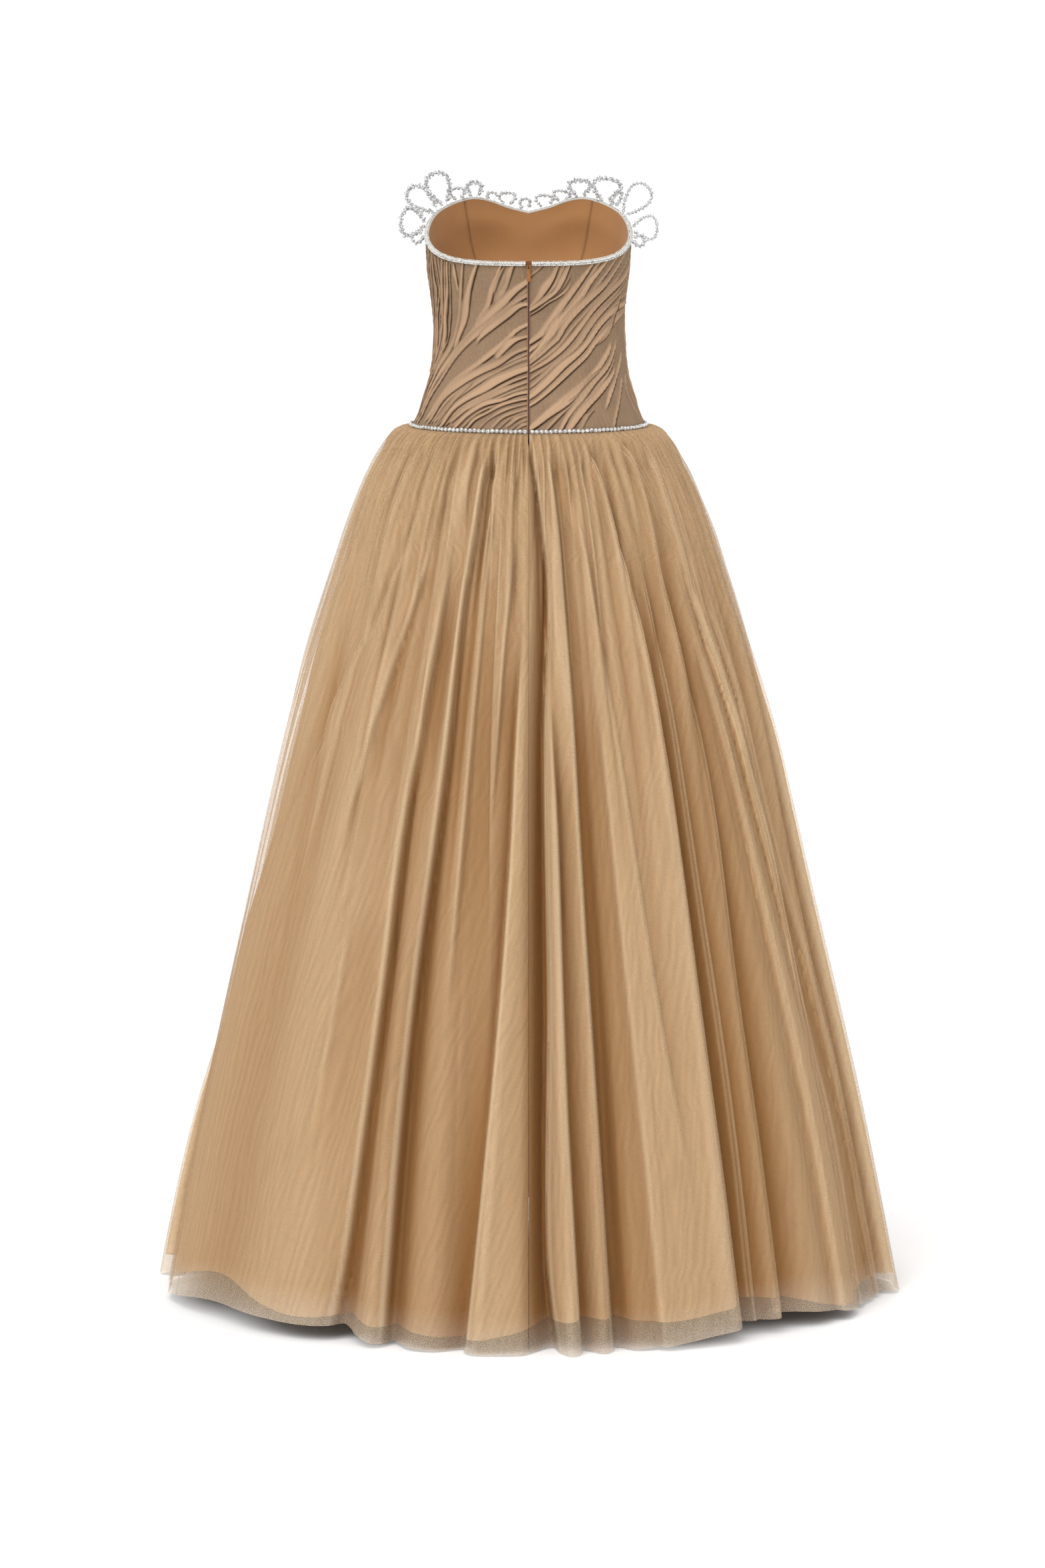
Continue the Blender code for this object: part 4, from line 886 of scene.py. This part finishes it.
def cup_shape(sides=10):
    """The metal cup of a stone of diameter 1: a low wall with four small claws over the girdle."""
    points, faces = [], []
    for radius, level in ((0.40, -0.34), (0.56, -0.30), (0.57, 0.02), (0.51, 0.03)):
        for k in range(sides):
            a = 2 * math.pi * k / sides
            points.append((radius * math.cos(a), radius * math.sin(a), level))
    for ring_k in range(3):
        for k in range(sides):
            n = (k + 1) % sides
            faces.append((ring_k * sides + k, ring_k * sides + n, (ring_k + 1) * sides + n, (ring_k + 1) * sides + k))
    for claw in range(4):
        a = math.pi / 4 + claw * math.pi / 2
        c, s = math.cos(a), math.sin(a)
        base = len(points)
        for radius, side, level in (
            (0.57, -0.07, -0.1), (0.57, 0.07, -0.1), (0.56, 0.07, 0.12), (0.56, -0.07, 0.12), (0.38, -0.04, 0.20),
            (0.38, 0.04, 0.20),
        ):
            points.append((radius * c - side * s, radius * s + side * c, level))
        faces += [(base, base + 1, base + 2, base + 3), (base + 3, base + 2, base + 5, base + 4)]
    return np.array(points), faces


def place_copies(shapes, spots):
    """Points and faces of copies of shapes: each spot is (which shape, centre, outward, upward, size, turn)."""
    points, faces, marks, base = [], [], [], 0
    for which, centre, outward, upward, size, turn in spots:
        shape_points, shape_faces = shapes[which]
        right = unit(np.cross(upward, outward))
        up = np.cross(outward, right)
        c, s = math.cos(turn), math.sin(turn)
        axes = np.stack([right * c + up * s, up * c - right * s, outward])
        size = np.asarray(size, dtype=float)
        points.append(shape_points * size @ axes + centre)
        faces += [tuple(base + i for i in face) for face in shape_faces]
        marks += [which] * len(shape_faces)
        base += len(shape_points)
    return np.concatenate(points), faces, marks


def walk_ring(start, end, height_of, out, pitch):
    """Evenly spaced (place, outward, along) on the bodice at a height given by the angle."""
    angles = np.linspace(start, end, 2400)
    line = body_surface(angles, height_of(angles), out)
    run = length_along(line)
    count = int(run[-1] / pitch)
    at = np.interp((np.arange(count) + 0.5) * run[-1] / count, run, angles)
    here, ahead = body_surface(at, height_of(at), out), body_surface(at + 0.2, height_of(at + 0.2), out)
    along = unit(ahead - here)
    away = body_surface(at, height_of(at), out + 0.004) - here
    away -= along * np.sum(away * along, axis=1)[:, None]
    return here, unit(away), along


crystal = cut_crystal("foiled_cut_crystal", "#F2F0EC", "#9C9A95", 0.2)
# Silver-plated brass, stamped: a bright soft metal with fine scratches
scratches = ("TexNoise", {"Scale": 900.0, "Detail": 3.0}, {})
plated = two_tone("silver_plated_brass", scratches, "#C9C9CC", "#E8E8EA", False, Metallic=1.0, Roughness=0.28)[0]
chance = np.random.default_rng(8)
neck_gap, waist_gap = 1.65, 0.65
spots = []
# rows of stones: drop from the neck edge, shift along it in stones, rise of the stones' faces (on top of the edge
# where it is over 1)
for drop, shift, rise in ((-0.0006, 0.25, 1.6), (0.0014, 0.0, 0.25), (0.0036, 0.5, 0.0)):
    out = 0.0002 if rise > 1 else NECK_TRIM_BACK + 0.0008
    place, away, along = walk_ring(neck_gap, 360 - neck_gap, lambda a: neck_height(a) - drop, out, NECK_STONE)
    for k in range(len(place)):
        centre = place[k] + along[k] * shift * NECK_STONE * (1 if k < len(place) - 1 else 0)
        size = NECK_STONE * chance.uniform(0.90, 1.0)
        tip = away[k] * (-0.5 if rise > 1 else 1.0) + 0.10 * chance.normal(size=3) + np.array([0.0, 0.0, rise])
        spots.append((0, centre, unit(tip), along[k], size, chance.uniform(0, 3)))
points, faces, _ = place_copies([stone_shape(7, 0.34, 0.30)], spots)
neck_stones = mesh_piece("neck_trim_stones", points, faces, [crystal], smooth=False)

# The band under the stones: white net tape, seen between them
threads = ("TexVoronoi", {"Scale": 1500.0}, {"feature": "DISTANCE_TO_EDGE"})
tape = two_tone("white_net_tape", threads, "#BDB8B0", "#DCD8D1", in_place=False, Roughness=0.7)[0]
angles = np.linspace(neck_gap, 360 - neck_gap, 420)
BAND_PROFILE = (  # lift over the neck edge and distance out, from the lining over the edge and down the outside
    (-0.0022, -0.0017), (-0.0006, -0.0015), (0.0003, -0.0004), (0.0004, 0.0012), (0.0003, 0.0026),
    (-0.0004, 0.0034), (-0.0024, 0.0036), (-0.0042, 0.0034), (-0.0047, 0.0026),
)
rows = [body_surface(angles, neck_height(angles) + lift, out) for lift, out in BAND_PROFILE]
band_points = np.stack(rows, axis=0)
neck_band = mesh_piece("neck_trim_band", band_points, grid_faces(len(rows), len(angles)), [tape])

level_of = lambda a: WAIST_TRIM_MIDDLE + 0 * a
place, away, along = walk_ring(waist_gap, 360 - waist_gap, level_of, WAIST_TRIM_BACK + 0.0014, WAIST_PITCH)
spots = []
for k in range(len(place)):
    centre = place[k] + np.array([0.0, 0.0, 0.00025 * chance.normal()])
    tip = unit(away[k] + 0.06 * chance.normal(size=3))
    turn = chance.uniform(-0.3, 0.3)
    spots.append((0, centre, tip, along[k], WAIST_STONE * chance.uniform(0.96, 1.0), turn))
    spots.append((1, centre, tip, along[k], WAIST_STONE, turn))
points, faces, marks = place_copies([stone_shape(9, 0.30, 0.34), cup_shape()], spots)
waist_stones = mesh_piece("waist_trim_cup_chain", points, faces, [crystal, plated], smooth=False)
waist_stones.data.polygons.foreach_set("material_index", marks)
for piece, node in ((neck_stones, "neck_trim"), (neck_band, "neck_trim"), (waist_stones, "waist_trim")):
    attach(piece, "gown")
    if piece is not neck_band:
        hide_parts(node)

# --- Crystal strands: beaded loops standing on the front and side neck edge -------------------------------------
# Clear cut glass beads, round, bicone and long ones, threaded on stiff silver wire that is bent into a loop, its
# two ends sewn side by side to the neck edge.
STRANDS = (  # angle, length, width, tilt from upright towards +X, turn, lean back
    (-123.0, 0.043, 0.026, -17.0, 10.0, 12.0), (-112.0, 0.044, 0.022, -52.0, -6.0, 2.0),
    (-101.0, 0.032, 0.032, -84.0, 0.0, 0.0), (-89.0, 0.015, 0.008, -118.0, 0.0, 0.0),
    (-135.0, 0.014, 0.015, -8.0, 0.0, 10.0), (-147.0, 0.018, 0.015, 0.0, 0.0, 8.0),
    (-158.5, 0.008, 0.008, 0.0, 0.0, 4.0), (-167.5, 0.015, 0.017, 4.0, 0.0, 12.0),
    (-178.0, 0.013, 0.008, 0.0, 0.0, 2.0), (171.0, 0.014, 0.018, 0.0, 0.0, 12.0),
    (161.0, 0.012, 0.018, 8.0, 0.0, 4.0), (149.0, 0.021, 0.024, 0.0, 0.0, 12.0),
    (130.0, 0.030, 0.032, 8.0, 0.0, 16.0), (121.5, 0.020, 0.006, 22.0, 20.0, -6.0),
    (108.0, 0.046, 0.026, 40.0, 4.0, 2.0), (96.0, 0.031, 0.026, 88.0, 0.0, 0.0),
    (84.0, 0.014, 0.010, 108.0, 0.0, 0.0),
)
# Strand radius, distance between its feet, straight start and gap to the cloth
STRAND_RADIUS, STRAND_FEET, STRAND_STUB, SEAM_GAP = 0.0024, 0.0070, 0.0016, 0.0003
NECK_RADIUS = 0.13  # turns an angle at the neck edge into metres round it
TRIM_OUT = 0.0048  # the neck trim's outer face, out from the inner face of the bodice


def strand_foot(angle, on_face):
    """Where a strand's end is sewn, and which way it leaves: off the trim's face, or up from the neck edge."""
    high = float(neck_height(angle))
    if on_face:
        spot = body_surface(np.array(angle), high - NECK_TRIM_HEIGHT / 2, TRIM_OUT)
        away = unit(body_surface(np.array(angle), high, TRIM_OUT) - body_surface(np.array(angle), high, 0.0))
        return spot + away * 1.5 * SEAM_GAP, away
    slope = abs(float(neck_height(angle + 1.0) - neck_height(angle - 1.0))) / (math.radians(2.0) * NECK_RADIUS)
    chord = float(neck_height(angle + 3.0) + neck_height(angle - 3.0)) / 2 - high
    lift = 1.5 * SEAM_GAP + STRAND_RADIUS * slope + max(0.0, chord)
    spot = body_surface(np.array(angle), high, TRIM_OUT - STRAND_RADIUS)
    return spot + np.array([0, 0, lift]), np.array([0.0, 0.0, 1.0])


def strand_line(angle, length, width, tilt, turn, lean):
    """Points along the wire of a strand, from one foot round the loop to the other."""
    on_face = abs(tilt) > 60.0
    tilt = math.radians(tilt)
    root, seat = strand_foot(angle, on_face)
    root = root + seat * STRAND_STUB
    spin = Matrix.Rotation(math.radians(turn), 3, "Z") @ Matrix.Rotation(math.radians(-lean), 3, "X")
    along = np.array(spin @ Vector((math.sin(tilt), 0.0, math.cos(tilt))))
    across = np.array(spin @ Vector((math.cos(tilt), 0.0, -math.sin(tilt))))
    spread = math.degrees(STRAND_FEET / 2 / NECK_RADIUS)
    loop = []
    for s in np.linspace(0.05, 0.95, 60):
        side = -STRAND_FEET / 2 * math.cos(math.pi * s) - width / 2 * math.sin(2 * math.pi * s)
        loop.append(root + across * side + along * length * math.sin(math.pi * s))
    first, last = strand_foot(angle + spread, on_face), strand_foot(angle - spread, on_face)
    return np.array([first[0], first[0] + first[1] * STRAND_STUB] + loop + [last[0] + last[1] * STRAND_STUB, last[0]])


def turned_bead(rings, sides=8):
    """A bead of length 1 along +Z from (radius, level) rings, with alternate rings turned so that it reads as cut."""
    points, faces = [], []
    for j, (radius, level) in enumerate(rings):
        for k in range(sides):
            a = 2 * math.pi * (k + 0.5 * (j % 2)) / sides
            points.append((radius * math.cos(a), radius * math.sin(a), level))
    for j in range(len(rings) - 1):
        for k in range(sides):
            n = (k + 1) % sides
            a, b, c, d = j * sides + k, j * sides + n, (j + 1) * sides + k, (j + 1) * sides + n
            faces += [(a, b, c), (b, d, c)] if j % 2 == 0 else [(a, b, d), (a, d, c)]
    faces += [tuple(range(sides - 1, -1, -1)), tuple(range((len(rings) - 1) * sides, len(rings) * sides))]
    return np.array(points), faces


BEADS = (  # length in mm, diameter in mm, shape
    (4.8, 6.0, turned_bead(((0.16, -0.5), (0.40, -0.30), (0.50, 0.0), (0.40, 0.30), (0.16, 0.5)))),
    (4.2, 5.4, turned_bead(((0.12, -0.5), (0.50, -0.05), (0.50, 0.05), (0.12, 0.5)))),
    (6.6, 4.8, turned_bead(((0.20, -0.5), (0.44, -0.34), (0.50, 0.0), (0.44, 0.34), (0.20, 0.5)), 6)),
    (3.2, 4.4, turned_bead(((0.22, -0.5), (0.50, -0.15), (0.50, 0.15), (0.22, 0.5)), 7)),
)


def wire_tube(line, radius, sides=5):
    """Points and faces of a round wire along a line."""
    ahead = unit(np.gradient(line, axis=0))
    guide = unit(np.cross(ahead, np.array([0.31, 0.92, 0.25])))
    other = np.cross(ahead, guide)
    turns = np.linspace(0, 2 * math.pi, sides, endpoint=False)
    around = guide[:, None, :] * np.cos(turns)[None, :, None] + other[:, None, :] * np.sin(turns)[None, :, None]
    points = line[:, None, :] + radius * around
    faces = []
    for j in range(len(line) - 1):
        for k in range(sides):
            n = (k + 1) % sides
            faces.append((j * sides + k, j * sides + n, (j + 1) * sides + n, (j + 1) * sides + k))
    return points.reshape(-1, 3), faces


DOUBLED = (1, 2, 3, 6, 12, 13)  # loops of two chains twisted together
TWIST_PITCH, TWIST_RADIUS, WIRE_RADIUS, BEAD_GAP = 0.016, 0.0019, 0.00035, 0.00005
BEAD_MIX = (0.34, 0.22, 0.26, 0.18)  # how often each kind of bead is threaded
glass = cut_crystal("clear_cut_glass", "#E8E8E7", "#9DA0A3", 0.35)
for number, strand in enumerate(STRANDS, 1):
    line = strand_line(*strand)
    run = length_along(line)
    spots = []
    for chain in range(2 if number in DOUBLED else 1):
        at, last_kind = 0.0012 + 0.0025 * chain, -1
        while True:
            kind = int(chance.choice(len(BEADS), p=BEAD_MIX))
            if kind == last_kind == 2:
                kind = 0
            length, width, _ = BEADS[kind]
            scale = 0.93 if number in DOUBLED else 1.12
            length = length / 1000.0 * scale * chance.uniform(0.92, 1.05)
            width = width / 1000.0 * scale * chance.uniform(0.92, 1.05)
            if at + length > run[-1] - 0.0010:
                break
            middle = at + length / 2
            before, centre, after = (
                np.array([np.interp(middle + d, run, line[:, k]) for k in range(3)])
                for d in (-length / 2, 0.0, length / 2)
            )
            ahead = unit(after - before)
            guide = np.array([0.2, 1.0, 0.1]) if abs(ahead[1]) < 0.9 else np.array([1.0, 0.0, 0.0])
            if number in DOUBLED:
                aside = unit(np.cross(ahead, guide))
                turn = middle / TWIST_PITCH * 2 * math.pi + chain * math.pi
                centre = centre + TWIST_RADIUS * (aside * math.cos(turn) + np.cross(ahead, aside) * math.sin(turn))
            spots.append((kind, centre, ahead, guide, (width, width, length), chance.uniform(0, 3)))
            at += length + BEAD_GAP
            last_kind = kind
    points, faces, _ = place_copies([bead[2] for bead in BEADS], spots)
    wire_points, wire_faces = wire_tube(line, WIRE_RADIUS)
    marks = [0] * len(faces) + [1] * len(wire_faces)
    faces = faces + [tuple(len(points) + i for i in face) for face in wire_faces]
    points = np.concatenate([points, wire_points])
    piece = mesh_piece(f"strand_{number:02d}_beads", points, faces, [glass, plated], smooth=False)
    piece.data.polygons.foreach_set("material_index", marks)
    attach(piece, "gown")
    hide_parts(f"crystal_strand_{number:02d}")

# --- Centre back zip: nylon coil, rolled lips, slider and pull ---------------------------------------------------
# An invisible zip dyed copper brown, sewn into the centre back from the neck edge to just below the waist seam.
# The slider and its flat pull are zinc castings under copper paint; the pull hangs and swings from the bail.
# Pitch of the teeth, distance of the rolled lips from the middle, their radius and the points across one
TOOTH_PITCH, LIP_EDGE, LIP_ROUND, LIP_POINTS = 0.0012, 0.0008, 0.00065, 7


# Dyed nylon: a close matt thread with a small shine, ribbed across every 1.4 mm
ribs = ("TexWave", {"Scale": 225.0, "Distortion": 0.3}, {"bands_direction": "Z"})
NYLON = {"channel": 1, "Roughness": 0.5, "IOR": 1.53, "Sheen_Weight": 0.1}
copper_nylon = two_tone("copper_dyed_nylon_tape", ribs, "#8F552A", "#B8763F", **NYLON)[0]
# painted shade: the right-hand lip takes this darker copy of the same copper tape
shaded_nylon = two_tone("brown_dyed_nylon_tape", ribs, "#6A4226", "#8A5A36", **NYLON)[0]
# painted shade: the coil, down in the slot between the lips, is coloured near-black rather than copper
shaded_coil = two_tone("copper_dyed_nylon_coil", ribs, "#2E170B", "#4E2A14", **NYLON)[0]
levels = np.linspace(float(neck_height(0.0)) - 0.0004, ZIP_END, 180)
waist_y = float(body_surface(np.array(0.0), WAIST_SEAM, 0.0)[1])
on_bodice = body_surface(np.zeros_like(levels), np.maximum(levels, WAIST_SEAM), 0.0)[:, 1]
back_y = np.where(levels > WAIST_SEAM, on_bodice, waist_y - 0.6 * (WAIST_SEAM - levels))
points, faces, marks = [], [], []
for side in (-1.0, 1.0):
    turns = np.linspace(0.0, math.pi, LIP_POINTS)
    base = len(points) * LIP_POINTS
    for level, y in zip(levels, back_y):
        fade = 1.0 if level > ZIP_END + 0.006 else 0.4
        x = side * (LIP_EDGE + LIP_ROUND * (1 - np.cos(turns)))
        lip_y = y - 0.0010 - 0.0016 * np.sin(turns) * fade
        points.append(np.stack([x, lip_y, level + 0 * turns], axis=1))
    for j in range(len(levels) - 1):
        for k in range(LIP_POINTS - 1):
            a = base + j * LIP_POINTS + k
            faces.append((a, a + 1, a + LIP_POINTS + 1, a + LIP_POINTS))
            marks.append(0 if side < 0 else 1)
zip_lips = mesh_piece("zip_rolled_lips", np.concatenate(points), faces, [copper_nylon, shaded_nylon])
zip_lips.data.polygons.foreach_set("material_index", marks)
teeth = []
tooth = turned_bead(((0.30, -0.5), (0.5, -0.15), (0.5, 0.15), (0.30, 0.5)), 6)
for k, level in enumerate(np.arange(ZIP_END + 0.002, float(neck_height(0.0)) - 0.001, TOOTH_PITCH)):
    y = float(np.interp(level, levels[::-1], back_y[::-1]))
    centre = np.array([0.00018 * (1 if k % 2 else -1), y - 0.0016, level])
    teeth.append((0, centre, np.array([1.0, 0.0, 0.0]), np.array([0.0, 0.0, 1.0]), (0.0010, 0.0016, 0.0022), 0.0))
points, faces, _ = place_copies([tooth], teeth)
zip_teeth = mesh_piece("zip_coil_teeth", points, faces, [shaded_coil], smooth=False)
for piece in (zip_lips, zip_teeth):
    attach(piece, "gown")
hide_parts("zip_chain")


def painted_zinc(name, dark, light):
    """Copper paint over cast zinc: a warm metallic coat, rubbed brighter in places."""
    rubs = ("TexNoise", {"Scale": 260.0, "Detail": 4.0}, {})
    metal = {"Metallic": 1.0, "Roughness": 0.34, "Coat_Weight": 0.3, "Coat_Roughness": 0.15}
    material, shader, rub = two_tone(name, rubs, dark, light, **metal)
    roughen(material, shader, rub, 0.15, 0.0001)
    return material


# the slider and the pull: node, width of its rounded edges, paint
for node_name, width, paint in (
    ("zip_slider", 0.0007, painted_zinc("dark_copper_painted_zinc", "#5A341A", "#8E5A34")),
    ("zip_pull", 0.0003, painted_zinc("copper_painted_zinc", "#8A5228", "#BC8049")),
):
    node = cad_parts[node_name]
    if not node.material_slots:
        node.data.materials.append(paint)
    for place in node.material_slots:
        place.material = paint
    bevel = node.modifiers.new("rounded_edges", "BEVEL")
    bevel.width, bevel.segments, bevel.limit_method, bevel.angle_limit = width, 3, "ANGLE", math.radians(40)

low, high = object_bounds()
